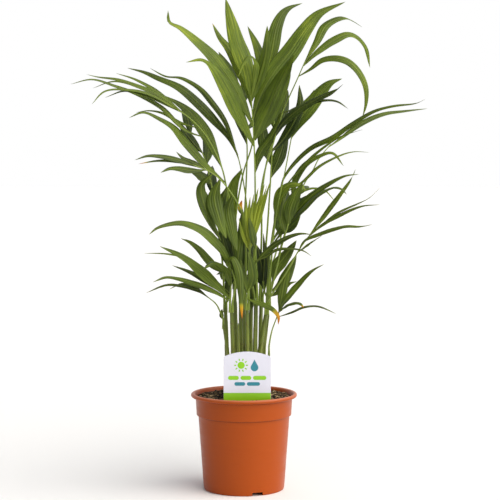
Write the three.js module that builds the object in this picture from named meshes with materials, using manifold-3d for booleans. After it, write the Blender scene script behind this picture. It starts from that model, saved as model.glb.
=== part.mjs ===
// Potted palm: a clump of palm seedlings in a plastic nursery pot, with its compost and a stick-in label.
// Millimetres, +Z up, the front along -Y. The origin is the middle of the pot's foot, on the ground.
import * as THREE from 'three';
import { mergeVertices } from 'three/addons/utils/BufferGeometryUtils.js';
import Module from 'manifold-3d';

const wasm = await Module();
wasm.setup();

// Driving dimensions
const GAP = 0.3; // clearance kept between touching pieces
const POT = { height: 155, rimRadius: 85, lipHeight: 6.5, collarTop: 77.6, collarFoot: 76.1, collarHeight: 35,
  bodyTop: 73.2, bodyFoot: 65, wall: 1.6, floorBottom: 6, floorTop: 8, padRadius: 14, sides: 36 };
const NOTCH = { count: 3, width: 18, depth: 16, height: 5.8, firstAngle: 19.6 };
const DRAIN = { count: 8, radius: 4.5, depth: 12, ring: 44, sides: 10 };
const COMPOST = { top: 150, lump: 1.6, sides: 24, rings: 5 };
const LABEL = { width: 74, shoulder: 221, top: 229, corner: 6, y: -61, x: 5, thick: 0.9, spikeTop: 128,
  spikeWidth: 16, spikeTip: 62, spikePoint: 16, spikeNeck: 10 };
const PLANTED = 44; // how far a stem's base goes down into the compost
const STEM_SIDES = 8;
const STEM_STEPS = 6;
const STALK_SIDES = 5;
const STALK_LIFT = 6; // how far a stalk leaves its stem upright
const SPINE_POINTS = 200; // places along a stalk that a leaflet can grow from
// fold: how deep the roof is, as a share of half the width. free: the share of a leaflet next to its
// stalk that may touch its own frond. The last four shape the outline from the stalk to the tip.
const BLADE = { thick: 1.1, steps: 6, narrowest: 0.7, fold: 0.12, roll: 32, twist: 22, free: 0.25,
  widenFrom: -0.12, widenTo: 0.46, taper: 2.4, blunt: 0.85 };
// The plant's elevation below is drawn as seen from a point this far in front and this high.
const VIEW = { distance: 2512, height: 560 };
// How far a leaflet's tip is turned forward or back to clear its neighbours, in the order tried
const DEPTH_TRIES = [0, 7, -7, 14, -14, 21, -21, 28, -28, 36, -36, 44, -44, 54, -54];

const WELD = 1e-4; // points nearer than this are one
const SIMPLER = 0.05; // how far a joined surface may move when it is simplified
const TOUCH = 1e-6; // a common volume under this is not a clash

const COLOURS = { terracotta: 0xb85528, compost: 0x3a2418, label: 0xe6e6f0, stem: 0x8fa03c, leaf: 0x5f7a2c };

// Stems: name, foot [x, y] at the compost, top [x, y, z], radius at the foot and at the top
const STEMS = [
  ['stem_left_outer', [-18, -12], [-33, -14, 268], 3.0, 2.4],
  ['stem_left_front', [-16, -30], [-20, -34, 296], 3.7, 3.1],
  ['stem_left_inner', [-12, 3], [-15, 1, 330], 3.8, 3.1],
  ['stem_centre_left', [-4, -16], [-6, -18, 318], 3.6, 3.0],
  ['stem_centre_front', [6, -34], [5, -36, 300], 3.8, 3.4],
  ['stem_crown', [17, -12], [19, -14, 305], 4.2, 3.6],
  ['stem_centre_rear', [10, 14], [12, 15, 330], 3.9, 3.3],
  ['stem_right_front', [17, -23], [36, -28, 292], 3.9, 3.5],
  ['stem_right_rear', [25, 4], [39, 4, 300], 3.9, 3.6],
  ['stem_right_thin', [37, -38], [39.5, -40, 228], 2.4, 2.0],
  ['stem_rear', [-2, 36], [-2, 38, 318], 4.0, 3.4],
  ['stem_rear_left', [-26, 24], [-30, 28, 290], 3.8, 3.4],
  ['stem_rear_right', [26, 34], [28, 36, 300], 4.0, 3.6],
  ['spear_left', [-12, -7], [-17, -9, 284], 2.6, 1.0],
  ['spear_front', [-6, -41], [-9, -43, 272], 2.6, 1.0],
  ['stem_middle', [1, -26], [0, -27, 308], 2.8, 2.2],
  ['spear_right_front', [16, -34], [18, -36, 298], 2.7, 1.0],
  ['spear_right', [27, -9], [40, -13, 282], 2.8, 1.1],
  ['spear_rear_left', [-10, 23], [-12, 25, 300], 2.8, 1.1],
  ['spear_rear_middle', [6, 29], [7, 30, 312], 2.8, 1.1],
  ['spear_rear_right', [19, 22], [22, 24, 300], 2.8, 1.1],
  ['spear_right_thin', [32, -42], [35, -43, 280], 2.0, 0.8],
];

// Fronds: name, stem, offset [x, y] on the stem's top, stalk points [x, y, z], radius at both ends, leaflets.
// A leaflet: widest width, how far its tip lies behind (+) or before (-) its base, then drawn points [x, z],
// of which the first is the place on the stalk that it grows from.
const FRONDS = [
  ['frond_crown', 'stem_crown', [2.1, -0.6],
    [[18, -20, 400], [18, -26, 472], [17, -32, 533], [14, -37, 592], [11, -40, 630]], [1.9, 0.8], [
      [28, -46, [16, 549], [-6, 595], [-28, 640], [-50, 674], [-66, 686], [-92, 682]],
      [28, -20, [14, 580], [-7, 629], [-30, 667], [-52, 695], [-76, 717], [-101, 737], [-118, 746],
        [-120, 764]],
      [21, 50, [13, 610], [5, 643], [-11, 681], [-25, 706], [-38, 722], [-50, 744]],
      [33, 8, [11, 628], [4, 672], [-12, 717], [-21, 751], [-29, 783]],
      [11, -44, [12, 624], [17, 655], [19, 680], [10, 692], [-1, 680], [-9, 658]],
      [22, -6, [13, 620], [24, 658], [35, 699], [37, 740]],
      [38, 80, [14, 592], [24, 625], [47, 667], [74, 701], [97, 735], [119, 760], [161, 778]],
      [47, -50, [16, 560], [27, 586], [45, 622], [61, 658], [80, 695]],
      [19, 10, [17, 508], [25, 537], [47, 571], [60, 605]]]],
  ['frond_crown_rear', 'stem_left_inner', [2, -1],
    [[-14, 4, 425], [-1, 4, 507], [12, 6, 548], [22, 12, 605], [31, 18, 650]], [1.8, 0.8], [
      [26, 70, [30, 645], [43, 697], [51, 737], [60, 758], [72, 769], [93, 776]],
      [21, 90, [26, 625], [30, 670], [22, 705], [6, 740]],
      [24, 12, [-14, 425], [-21, 460], [-15, 492], [-2, 515]],
      [17, 60, [22, 605], [40, 640], [52, 672]]]],
  ['frond_arching', 'stem_rear_right', [-2.2, -1.6],
    [[28, 30, 400], [30, 24, 485], [40, 18, 540], [60, 12, 600], [87, 4, 661], [97, 2, 684]], [1.9, 0.8], [
      [17, 90, [96, 680], [116, 716], [130, 741], [156, 753], [170, 749], [188, 738]],
      [18, 50, [95, 677], [119, 701], [142, 717], [164, 727], [180, 722], [193, 706], [200, 674]],
      [15, -30, [87, 661], [106, 672], [124, 686], [144, 689], [164, 684], [180, 670], [193, 645], [194, 618],
        [188, 594]]]],
  ['frond_shaded', 'stem_centre_rear', [1.6, -1.6],
    [[18, 6, 400], [24, -8, 450], [28, -22, 485], [35, -34, 518], [42, -42, 538], [50, -48, 565],
      [63, -52, 608]], [1.8, 0.8], [
      [24, -56, [51, 567], [60, 584], [83, 605], [114, 623], [150, 641]],
      [9, -84, [62, 604], [88, 608], [108, 618], [128, 622], [148, 620], [166, 608]],
      [21, 28, [42, 540], [58, 555], [79, 587], [89, 614], [88, 647]],
      [7, -12, [62, 600], [100, 618], [135, 630], [158, 648]]]],
  ['frond_single_blade', 'stem_right_front', [1.8, 2],
    [[43, -22, 360], [51, -24, 438], [59, -22, 480], [64, -18, 502], [76, -10, 566]], [1.5, 0.8], [
      [33, 30, [76, 565], [92, 597], [114, 626], [136, 650], [156, 657]],
      [14, 60, [75, 560], [84, 590], [98, 615], [112, 640]]]],
  ['frond_left_upper', 'stem_centre_rear', [-1.6, 1.4],
    [[8, 12, 400], [5, 4, 450], [1, 0, 482], [-5, -2, 515], [-10, -2, 536]], [1.7, 0.8], [
      [21, 90, [-10, 536], [-23, 562], [-57, 602], [-99, 641], [-138, 659], [-160, 668], [-185, 674]],
      [12, 130, [-8, 528], [-29, 587], [-52, 621], [-72, 643], [-99, 658], [-124, 661], [-149, 674]]]],
  ['frond_far_left', 'stem_centre_left', [0, 0],
    [[-10, -18, 370], [-16, -20, 432], [-27, -24, 481], [-36, -32, 518], [-60, -44, 566], [-86, -56, 594],
      [-106, -66, 607]], [1.9, 0.7], [
      [24, 30, [-36, 518], [-46, 540], [-61, 571], [-82, 600], [-103, 617], [-129, 631]],
      [18, -70, [-32, 490], [-63, 522], [-91, 554], [-113, 580], [-136, 594], [-160, 603], [-183, 594]],
      [11, -60, [-60, 560], [-93, 575], [-131, 611], [-169, 632], [-205, 645], [-241, 655], [-276, 647]],
      [11, -20, [-90, 596], [-138, 632], [-169, 645], [-200, 655], [-232, 659], [-250, 663]],
      [9, 20, [-96, 600], [-111, 614], [-142, 639], [-174, 656], [-203, 665]],
      [8, -70, [-100, 603], [-150, 632], [-188, 639], [-221, 636], [-242, 615]],
      [8, -44, [-98, 602], [-150, 628], [-188, 637], [-221, 626]],
      [7, 0, [-104, 606], [-150, 636], [-205, 652], [-240, 641]],
      [7, 24, [-70, 576], [-101, 587], [-129, 602], [-151, 606], [-172, 603]]]],
  ['frond_left_mid', 'stem_centre_front', [-2.4, 1.6],
    [[3, -32, 360], [1, -34, 420], [-4, -40, 446], [-26, -50, 483], [-48, -60, 505], [-81, -74, 520]],
    [1.9, 0.8], [
      [12, -50, [-70, 515], [-115, 530], [-151, 534], [-174, 527]],
      [7, -30, [-80, 520], [-115, 526], [-140, 526], [-168, 521]],
      [14, -60, [-60, 510], [-83, 511], [-115, 514], [-133, 507]],
      [11, 6, [-60, 510], [-78, 522], [-97, 531], [-108, 541]],
      [8, 14, [-66, 513], [-78, 522], [-87, 530]],
      [20, 8, [-50, 506], [-68, 486], [-62, 452], [-49, 422], [-36, 398]],
      [28, -12, [-38, 496], [-47, 470], [-40, 435], [-28, 402]],
      [24, 14, [-28, 484], [-36, 458], [-30, 430], [-18, 394]],
      [26, -2, [-18, 472], [-25, 448], [-20, 418], [-11, 382]],
      [9, -8, [-3, 438], [-6, 452], [-3, 464]]]],
  ['frond_left_low', 'stem_left_front', [-2, -0.8],
    [[-21, -40, 330], [-22, -44, 362]], [1.9, 0.9], [
      [19, -90, [-21, 340], [-27, 370], [-41, 392], [-66, 415], [-93, 426], [-115, 426], [-138, 419],
        [-152, 408]],
      [16, 30, [-21, 345], [-36, 351], [-52, 363], [-70, 384], [-86, 397], [-101, 403]],
      [25, -60, [-20, 306], [-48, 332], [-75, 356], [-99, 374], [-135, 390]],
      [7, -10, [-20, 314], [-60, 348], [-95, 372], [-124, 378], [-160, 379]],
      [12, 40, [-20, 310], [-59, 334], [-88, 350], [-115, 360]],
      [15, -90, [-20, 302], [-48, 318], [-75, 329], [-102, 337], [-124, 340], [-146, 332]],
      [19, -60, [-20, 325], [-30, 352], [-48, 363], [-65, 353]]]],
  ['frond_folded', 'stem_left_front', [2, -0.8],
    [[-14, -50, 330], [-19, -56, 352]], [1.7, 0.9], [
      [14, -30, [-19, 350], [-27, 362], [-19, 371], [-9, 352], [-5, 312], [-3, 272]],
      [17, 14, [-14, 328], [-10, 368], [-6, 404], [-4, 436]]]],
  ['frond_lowest', 'stem_left_outer', [0, 0],
    [[-38, -20, 285], [-45, -28, 298], [-58, -36, 309]], [1.6, 0.8], [
      [8, -24, [-52, 304], [-70, 317], [-97, 326], [-124, 328], [-157, 315]],
      [7, -8, [-56, 307], [-80, 325], [-100, 330], [-120, 321]],
      [8, 4, [-36, 272], [-36, 280], [-35, 290]]]],
  ['frond_opening', 'stem_centre_front', [2.4, -1.2],
    [[8, -44, 350], [10, -50, 400]], [1.8, 1.2], [
      [9, 2, [10, 384], [26, 440], [42, 494]],
      [6, -8, [10, 387], [23, 442], [37, 488]],
      [8, 8, [10, 390], [20, 440], [33, 490]],
      [6, -15, [10, 392], [17, 440], [29, 481]],
      [8, 2, [10, 394], [14, 438], [23, 484]],
      [7, -8, [10, 394], [11, 436], [16, 474]],
      [8, 9, [10, 392], [7, 430], [10, 470]],
      [6, -12, [10, 389], [4, 426], [4, 462]],
      [8, 0, [10, 386], [1, 418], [-2, 450]],
      [6, -6, [10, 382], [-2, 408], [-8, 436]]]],
  ['frond_centre_right', 'stem_crown', [-2.1, -0.6],
    [[13, -34, 335], [16, -50, 365], [20, -58, 392]], [1.6, 0.8], [
      [13, -10, [16, 360], [38, 384], [63, 401], [88, 410], [108, 409]],
      [7, -24, [16, 366], [35, 373], [51, 384], [74, 386], [94, 383], [108, 374]],
      [14, 10, [19, 384], [14, 408], [8, 436]]]],
  ['frond_right_high', 'stem_right_rear', [-2.4, -1.8],
    [[43, 0, 392], [53, -6, 456], [58, -8, 484]], [1.7, 0.9], [
      [14, -130, [57, 480], [64, 500], [84, 527], [107, 547], [140, 563], [174, 586], [207, 605], [238, 613],
        [273, 617], [289, 624]],
      [6, 14, [56, 470], [92, 492], [119, 517], [153, 535], [175, 541], [200, 540]],
      [6, -50, [57, 476], [110, 534], [150, 563], [175, 572], [190, 576]]]],
  ['frond_right_far', 'stem_right_rear', [1.6, 2.4],
    [[52, 14, 360], [62, 20, 400], [71, 26, 427], [84, 34, 460], [96, 42, 490], [110, 50, 512],
      [119, 56, 530], [138, 66, 553]], [1.7, 0.8], [
      [12, 60, [134, 548], [153, 562], [186, 586], [220, 601], [254, 606], [292, 610]],
      [14, -20, [80, 450], [80, 490], [96, 519], [119, 534], [141, 539], [159, 518]]]],
  ['frond_right_inner', 'stem_right_rear', [2.6, -1.8],
    [[46, -6, 396], [51, -12, 438]], [1.7, 0.9], [
      [21, -14, [51, 434], [54, 460], [62, 480], [76, 489], [88, 488], [100, 479]],
      [17, -60, [46, 398], [51, 408], [67, 428], [88, 451], [106, 470], [132, 488], [160, 502], [184, 505]],
      [15, -96, [46, 394], [62, 414], [80, 434], [96, 451], [119, 472], [141, 483], [155, 481], [164, 472]],
      [6, 4, [50, 430], [80, 470], [101, 481], [114, 483], [128, 480], [141, 467], [148, 456]]]],
  ['frond_right_front', 'stem_right_front', [2, -2],
    [[51, -36, 350], [60, -42, 388], [71, -48, 426]], [1.6, 0.9], [
      [26, 8, [71, 424], [74, 451], [83, 473], [94, 491]],
      [14, 24, [66, 408], [60, 440], [64, 470]]]],
  ['frond_right_straight', 'stem_right_front', [-2, -2],
    [[44, -44, 312], [66, -54, 345], [88, -62, 384], [105, -66, 408]], [1.6, 0.8], [
      [11, -50, [104, 406], [140, 455], [170, 496], [178, 513]],
      [9, -80, [103, 404], [125, 424], [148, 437], [186, 453], [217, 456]],
      [5, -64, [104, 407], [148, 442], [182, 458], [200, 467], [217, 483]],
      [11, -96, [88, 383], [96, 398], [125, 411], [160, 421], [186, 421], [205, 424]],
      [6, -44, [86, 379], [106, 395], [125, 407]]]],
  ['frond_right_shaded', 'stem_right_front', [-2, 2.2],
    [[42, -18, 312], [47, -14, 336]], [1.6, 0.9], [
      [26, 16, [46, 334], [52, 356], [69, 379], [84, 400]],
      [22, 34, [44, 318], [60, 330], [72, 352], [84, 377]],
      [11, 0, [42, 308], [61, 321], [74, 331], [85, 334]]]],
  ['frond_right_low', 'stem_right_thin', [0, 0],
    [[45, -44, 255], [53, -48, 277], [57, -50, 288]], [1.4, 0.8], [
      [15, -50, [55, 282], [62, 298], [83, 325], [108, 350], [128, 361]],
      [12, -66, [55, 284], [63, 291], [74, 297], [88, 298], [96, 291]],
      [7, -90, [53, 276], [74, 283], [96, 292], [119, 293], [148, 281]],
      [17, -6, [56, 286], [60, 310], [66, 340], [76, 368]]]],
  ['frond_front_low', 'stem_centre_front', [-1.2, -3.2],
    [[8, -52, 322]], [1.5, 0.9], [
      [12, -16, [6, 306], [18, 301], [35, 295], [47, 288], [55, 277], [55, 264]],
      [19, -26, [8, 318], [14, 338], [12, 360], [6, 382]],
      [15, -34, [8, 314], [-2, 342], [-5, 368]]]],
  ['frond_centre_dark', 'stem_right_rear', [-2, 2.6],
    [[33, 10, 318], [30, 8, 334]], [1.6, 0.9], [
      [24, -4, [32, 320], [30, 346], [26, 370], [21, 392]],
      [20, 10, [31, 325], [20, 345], [13, 370], [8, 394]],
      [13, 6, [31, 328], [37, 350], [37, 376], [33, 398]],
      [8, -2, [30, 332], [33, 372], [31, 412]]]],
  ['frond_centre_shaded', 'stem_left_inner', [-1.8, 1.4],
    [[-15, 4, 350], [-16, 8, 376]], [1.6, 0.9], [
      [24, 6, [-15, 348], [-25, 372], [-33, 400], [-34, 430]],
      [22, 16, [-15, 354], [-7, 382], [-3, 412], [-4, 444]],
      [24, 2, [-16, 368], [-20, 400], [-20, 432], [-13, 462]]]],
  ['frond_centre_low', 'stem_middle', [0, 0],
    [[-1, -25, 326], [-3, -22, 346]], [1.5, 0.9], [
      [20, 6, [-3, 338], [0, 356], [3, 378], [1, 404]],
      [15, 4, [-2, 332], [-12, 345], [-23, 336], [-26, 300]],
      [19, 14, [-3, 340], [5, 342], [12, 326], [13, 288]]]],
  ['frond_rear_upper', 'stem_rear_right', [-0.2, 2.6],
    [[36, 56, 400], [42, 86, 490], [46, 112, 560], [50, 140, 612], [54, 165, 640]], [1.9, 0.8], [
      [25, 30, [43, 500], [58, 540], [70, 580]],
      [25, 50, [44, 520], [32, 560], [28, 600]],
      [25, 60, [46, 560], [60, 600], [70, 640]],
      [25, 70, [48, 580], [38, 620], [34, 650]],
      [22, 60, [50, 610], [62, 645], [74, 668]],
      [22, 40, [54, 640], [52, 665], [48, 682]]]],
  ['frond_rear_left_upper', 'stem_rear', [-1.6, 1.4],
    [[0, 50, 420], [4, 62, 500], [5, 76, 553], [0, 96, 600], [-8, 120, 640]], [1.8, 0.8], [
      [21, 70, [5, 553], [-8, 600], [-26, 650]],
      [21, 90, [4, 575], [30, 604], [46, 650]],
      [21, 20, [0, 600], [-16, 640], [-38, 682]],
      [21, 110, [-2, 612], [4, 650], [4, 690]],
      [19, 60, [-8, 640], [-22, 670], [-40, 700]]]],
  ['frond_rear_left', 'stem_rear_left', [-1.6, 1.6],
    [[-34, 44, 360], [-42, 72, 430], [-52, 100, 490], [-66, 125, 540], [-84, 145, 570]], [1.8, 0.8], [
      [21, 64, [-40, 420], [-30, 448], [-22, 480]],
      [21, -20, [-42, 430], [-56, 455], [-66, 485]],
      [21, 90, [-48, 470], [-52, 500], [-50, 520]],
      [21, 0, [-52, 490], [-70, 505], [-90, 515]],
      [20, 92, [-60, 520], [-57, 546], [-64, 572]],
      [21, 0, [-66, 540], [-84, 560], [-104, 590]],
      [19, 70, [-84, 570], [-90, 596], [-98, 612]]]],
  ['frond_rear_right', 'stem_rear_right', [2.6, -0.8],
    [[48, 60, 370], [64, 92, 420], [80, 120, 455], [92, 140, 478]], [1.7, 0.8], [
      [21, 84, [60, 404], [56, 432], [52, 460]],
      [21, -20, [62, 410], [76, 424], [92, 450]],
      [21, 80, [72, 440], [66, 462], [70, 482]],
      [21, 10, [80, 455], [96, 464], [110, 476]],
      [19, 80, [90, 474], [96, 486], [102, 488]]]],
  ['frond_rear_low', 'stem_rear', [1.8, -0.8],
    [[2, 64, 350], [0, 98, 380], [2, 130, 390]], [1.6, 0.8], [
      [21, 50, [1, 355], [-12, 385], [-18, 398]],
      [21, 60, [1, 365], [12, 392], [16, 402]],
      [20, 80, [0, 380], [-16, 390], [-28, 366]],
      [20, 90, [1, 385], [14, 394], [26, 368]],
      [19, 110, [2, 390], [2, 396], [4, 372]]]],
  ['frond_rear_left_low', 'stem_rear_left', [1.8, -0.6],
    [[-26, 62, 322], [-20, 92, 344], [-14, 118, 350]], [1.5, 0.8], [
      [19, 60, [-22, 338], [-6, 354], [6, 340]],
      [19, 20, [-24, 330], [-34, 350], [-44, 346]],
      [19, 70, [-16, 348], [-28, 356], [-36, 338]],
      [18, 90, [-14, 350], [-14, 356], [-16, 334]]]],
];

// Closed geometry helpers

function closedGeometry(positions, triangles) {
  const geometry = new THREE.BufferGeometry();
  geometry.setAttribute('position', new THREE.Float32BufferAttribute(positions, 3));
  geometry.setIndex(triangles);
  return geometry;
}

// A skin over rings of equal count, each end closed by a fan; a ring may shrink to one point. The second
// half of the sides is divided as a mirror of the first, so that a thin blade's two skins never cross.
function loft(rings) {
  const count = Math.max(...rings.map((ring) => ring.length));
  const positions = [];
  const start = rings.map((ring) => {
    const first = positions.length / 3;
    ring.forEach((point) => positions.push(point.x, point.y, point.z));
    return first;
  });
  const at = (ring, side) => start[ring] + (rings[ring].length === 1 ? 0 : side % count);
  const triangles = [];
  const face = (a, b, c) => {
    if (a !== b && b !== c && c !== a) triangles.push(a, b, c);
  };
  for (let ring = 0; ring < rings.length - 1; ring += 1) {
    for (let side = 0; side < count; side += 1) {
      const [a, b] = [at(ring, side), at(ring, side + 1)];
      const [c, d] = [at(ring + 1, side + 1), at(ring + 1, side)];
      if (side < count / 2) {
        face(a, b, c);
        face(a, c, d);
      } else {
        face(a, b, d);
        face(b, c, d);
      }
    }
  }
  const last = rings.length - 1;
  for (let side = 2; side < count; side += 1) {
    if (rings[0].length > 1) face(at(0, 1), at(0, side + 1), at(0, side));
    if (rings[last].length > 1) face(at(last, 1), at(last, side), at(last, side + 1));
  }
  return closedGeometry(positions, triangles);
}

function solid(geometry) {
  const bare = geometry.clone();
  bare.deleteAttribute('normal');
  bare.deleteAttribute('uv');
  const merged = mergeVertices(bare, WELD);
  const triVerts = new Uint32Array(merged.index.array);
  const vertProperties = new Float32Array(merged.attributes.position.array);
  if (signedVolume(vertProperties, triVerts) < 0) {
    for (let i = 0; i < triVerts.length; i += 3) {
      [triVerts[i + 1], triVerts[i + 2]] = [triVerts[i + 2], triVerts[i + 1]];
    }
  }
  return new wasm.Manifold(new wasm.Mesh({ numProp: 3, vertProperties, triVerts }));
}

function signedVolume(vertices, triangles) {
  const corner = (i) => new THREE.Vector3().fromArray(vertices, 3 * triangles[i]);
  let sum = 0;
  for (let i = 0; i < triangles.length; i += 3) {
    sum += corner(i).dot(corner(i + 1).cross(corner(i + 2)));
  }
  return sum / 6;
}

function geometryOf(manifold) {
  const mesh = manifold.getMesh();
  return closedGeometry(Array.from(mesh.vertProperties), Array.from(mesh.triVerts));
}

// Joins solids into one body; a pocket that crossing blades close in between them is filled.
function unionOf(solids) {
  const joined = solids.reduce((sum, next) => sum.add(next)).simplify(SIMPLER);
  return joined.decompose().find((body) => body.volume() > 0);
}

const palm = new THREE.Group();
palm.name = 'potted_palm';

function addPiece(name, manifold, colour, roughness) {
  const material = new THREE.MeshStandardMaterial({ color: colour, roughness, metalness: 0 });
  const mesh = new THREE.Mesh(geometryOf(manifold), material);
  mesh.name = name;
  palm.add(mesh);
}

// Pot: one moulded shell with a rolled rim, a deep collar, a foot ring with notches and drain holes

function potWallRadius(z) {
  const rise = (z - POT.floorTop) / (POT.height - POT.collarHeight - POT.floorTop);
  return THREE.MathUtils.lerp(POT.bodyFoot, POT.bodyTop, rise);
}

function makePot() {
  const { height, rimRadius, lipHeight, collarTop, collarFoot, collarHeight, bodyTop, bodyFoot, wall } = POT;
  const collarZ = height - collarHeight;
  const lipZ = height - lipHeight;
  const profile = [
    [0, 0], [POT.padRadius, 0], [POT.padRadius, POT.floorBottom], [bodyFoot - 5, POT.floorBottom],
    [bodyFoot - 5, 0], [bodyFoot - 3, 0], [bodyFoot - 1.2, 1.4], [bodyFoot - 0.4, 4],
    [bodyTop, collarZ], [collarFoot, collarZ + 1.2], [collarTop, lipZ - 1], [rimRadius - 2, lipZ],
    [rimRadius - 0.5, lipZ + 1.2], [rimRadius, lipZ + 3.2], [rimRadius - 1.2, height - 0.8],
    [rimRadius - 3.2, height], [rimRadius - 5.6, height - 0.9], [collarTop - wall, lipZ - 2],
    [collarFoot - wall, collarZ + 2.4], [bodyTop - wall, collarZ - 1.4],
    [potWallRadius(POT.floorTop + 2) - wall, POT.floorTop + 2], [bodyFoot - 4.4, POT.floorTop],
    [0, POT.floorTop]].map(([radius, z]) => new THREE.Vector2(radius, z));
  const shell = solid(new THREE.LatheGeometry(profile, POT.sides).rotateX(Math.PI / 2));
  const cuts = [];
  for (let i = 0; i < NOTCH.count; i += 1) {
    const angle = (i / NOTCH.count) * 2 * Math.PI;
    const notch = new THREE.BoxGeometry(NOTCH.width, NOTCH.depth, 2 * NOTCH.height);
    notch.translate(0, -bodyFoot, 0).rotateZ(angle + THREE.MathUtils.degToRad(NOTCH.firstAngle));
    cuts.push(solid(notch));
  }
  for (let i = 0; i < DRAIN.count; i += 1) {
    const angle = ((i + 0.5) / DRAIN.count) * 2 * Math.PI;
    const drain = new THREE.CylinderGeometry(DRAIN.radius, DRAIN.radius, DRAIN.depth, DRAIN.sides);
    drain.rotateX(Math.PI / 2);
    drain.translate(DRAIN.ring * Math.cos(angle), DRAIN.ring * Math.sin(angle), POT.floorTop);
    cuts.push(solid(drain));
  }
  return cuts.reduce((pot, cut) => pot.subtract(cut), shell);
}

// Compost: fills the pot to a lumpy top; the stems and the label's spike stand in holes in it

function makeCompost(planted) {
  const bottom = POT.floorTop + GAP;
  const collarZ = POT.height - POT.collarHeight;
  const side = [
    [POT.bodyFoot - 4.4 - GAP, bottom], [potWallRadius(POT.floorTop + 2) - POT.wall - GAP, bottom + 2],
    [POT.bodyTop - POT.wall - GAP, collarZ - 1.4], [POT.collarFoot - POT.wall - GAP, collarZ + 2.8],
    [POT.collarFoot - POT.wall - GAP, COMPOST.top - 3]];
  const circle = (radius, height) => Array.from({ length: COMPOST.sides }, (_, i) => {
    const angle = (i / COMPOST.sides) * 2 * Math.PI;
    const flat = Math.cos(Math.PI / COMPOST.sides) * radius;
    return new THREE.Vector3(flat * Math.cos(angle), flat * Math.sin(angle), height(angle));
  });
  const rings = side.map(([radius, z]) => circle(radius, () => z));
  const rimRadius = POT.collarFoot - POT.wall - GAP;
  for (let ring = 1; ring <= COMPOST.rings; ring += 1) {
    const radius = rimRadius * (1 - ring / (COMPOST.rings + 1));
    const bump = (angle) => Math.sin(3 * angle + 2.1 * ring) + Math.sin(7 * angle - 1.7 * ring);
    rings.push(circle(radius, (angle) => COMPOST.top + (COMPOST.lump / 2) * bump(angle)));
  }
  rings.unshift([new THREE.Vector3(0, 0, bottom)]);
  rings.push([new THREE.Vector3(0, 0, COMPOST.top)]);
  return planted.reduce((compost, piece) => compost.subtract(piece), solid(loft(rings)));
}

// Label: a flat plastic plate with an arched top, narrowing to a spike that is pushed into the compost

function makeLabel(margin) {
  const half = LABEL.width / 2 + margin;
  const spike = LABEL.spikeWidth / 2 + margin;
  const shape = new THREE.Shape();
  shape.moveTo(0, LABEL.spikeTip - 2 * margin);
  shape.lineTo(spike, LABEL.spikeTip + LABEL.spikePoint);
  shape.lineTo(spike, LABEL.spikeTop - LABEL.spikeNeck);
  shape.lineTo(half, LABEL.spikeTop - margin);
  shape.lineTo(half, LABEL.shoulder - LABEL.corner);
  shape.quadraticCurveTo(half, LABEL.shoulder, half - LABEL.corner, LABEL.shoulder + 2);
  shape.quadraticCurveTo(0, 2 * LABEL.top - LABEL.shoulder - 2 + 2 * margin, -half + LABEL.corner,
    LABEL.shoulder + 2);
  shape.quadraticCurveTo(-half, LABEL.shoulder, -half, LABEL.shoulder - LABEL.corner);
  shape.lineTo(-half, LABEL.spikeTop - margin);
  shape.lineTo(-spike, LABEL.spikeTop - LABEL.spikeNeck);
  shape.lineTo(-spike, LABEL.spikeTip + LABEL.spikePoint);
  const depth = LABEL.thick + 2 * margin;
  const plate = new THREE.ExtrudeGeometry(shape, { depth, bevelEnabled: false, curveSegments: 6 });
  return solid(plate.translate(0, 0, -depth / 2).rotateX(Math.PI / 2).translate(LABEL.x, LABEL.y, 0));
}

// Stems and stalks: tapering round rods along a smooth curve

function rod(points, radii, sides, steps, margin) {
  const curve = new THREE.CatmullRomCurve3(points);
  const frames = curve.computeFrenetFrames(steps);
  const rings = [];
  for (let i = 0; i <= steps; i += 1) {
    const centre = curve.getPointAt(i / steps);
    const radius = THREE.MathUtils.lerp(radii[0], radii[1], i / steps) + margin;
    rings.push(Array.from({ length: sides }, (_, side) => {
      const angle = (side / sides) * 2 * Math.PI;
      return centre.clone()
        .addScaledVector(frames.normals[i], radius * Math.cos(angle))
        .addScaledVector(frames.binormals[i], radius * Math.sin(angle));
    }));
  }
  return solid(loft(rings));
}

function makeStem([, foot, top, footRadius, topRadius], margin) {
  const rise = (top[2] - COMPOST.top) / 2;
  const middle = [0, 1].map((axis) => foot[axis] + (top[axis] - foot[axis]) * 0.4);
  const points = [
    new THREE.Vector3(foot[0], foot[1], COMPOST.top - PLANTED - margin),
    new THREE.Vector3(foot[0], foot[1], COMPOST.top),
    new THREE.Vector3(middle[0], middle[1], COMPOST.top + rise),
    new THREE.Vector3(top[0], top[1], top[2])];
  return rod(points, [footRadius, topRadius], STEM_SIDES, STEM_STEPS, margin);
}

// A drawn point [x, z] set back by y: what lies deeper is spread so that it still looks as drawn.
function placed(x, z, y) {
  const spread = 1 + y / VIEW.distance;
  return new THREE.Vector3(x * spread, y, VIEW.height + (z - VIEW.height) * spread);
}

function stalkPoints(frond) {
  const [, stemName, offset, route] = frond;
  const top = STEMS.find(([name]) => name === stemName)[2];
  const start = new THREE.Vector3(top[0] + offset[0], top[1] + offset[1], top[2] + 2 * GAP);
  const lift = new THREE.Vector3(0, 0, STALK_LIFT).add(start);
  return [start, lift, ...route.map(([x, y, z]) => placed(x, z, y))];
}

// Leaflets: slim roof-shaped blades, narrow where they join the stalk and drawn out to a point

function bladeWidth(along) {
  const opening = THREE.MathUtils.smoothstep(along, BLADE.widenFrom, BLADE.widenTo);
  return opening * Math.max(0, 1 - along ** BLADE.taper) ** BLADE.blunt;
}

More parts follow.
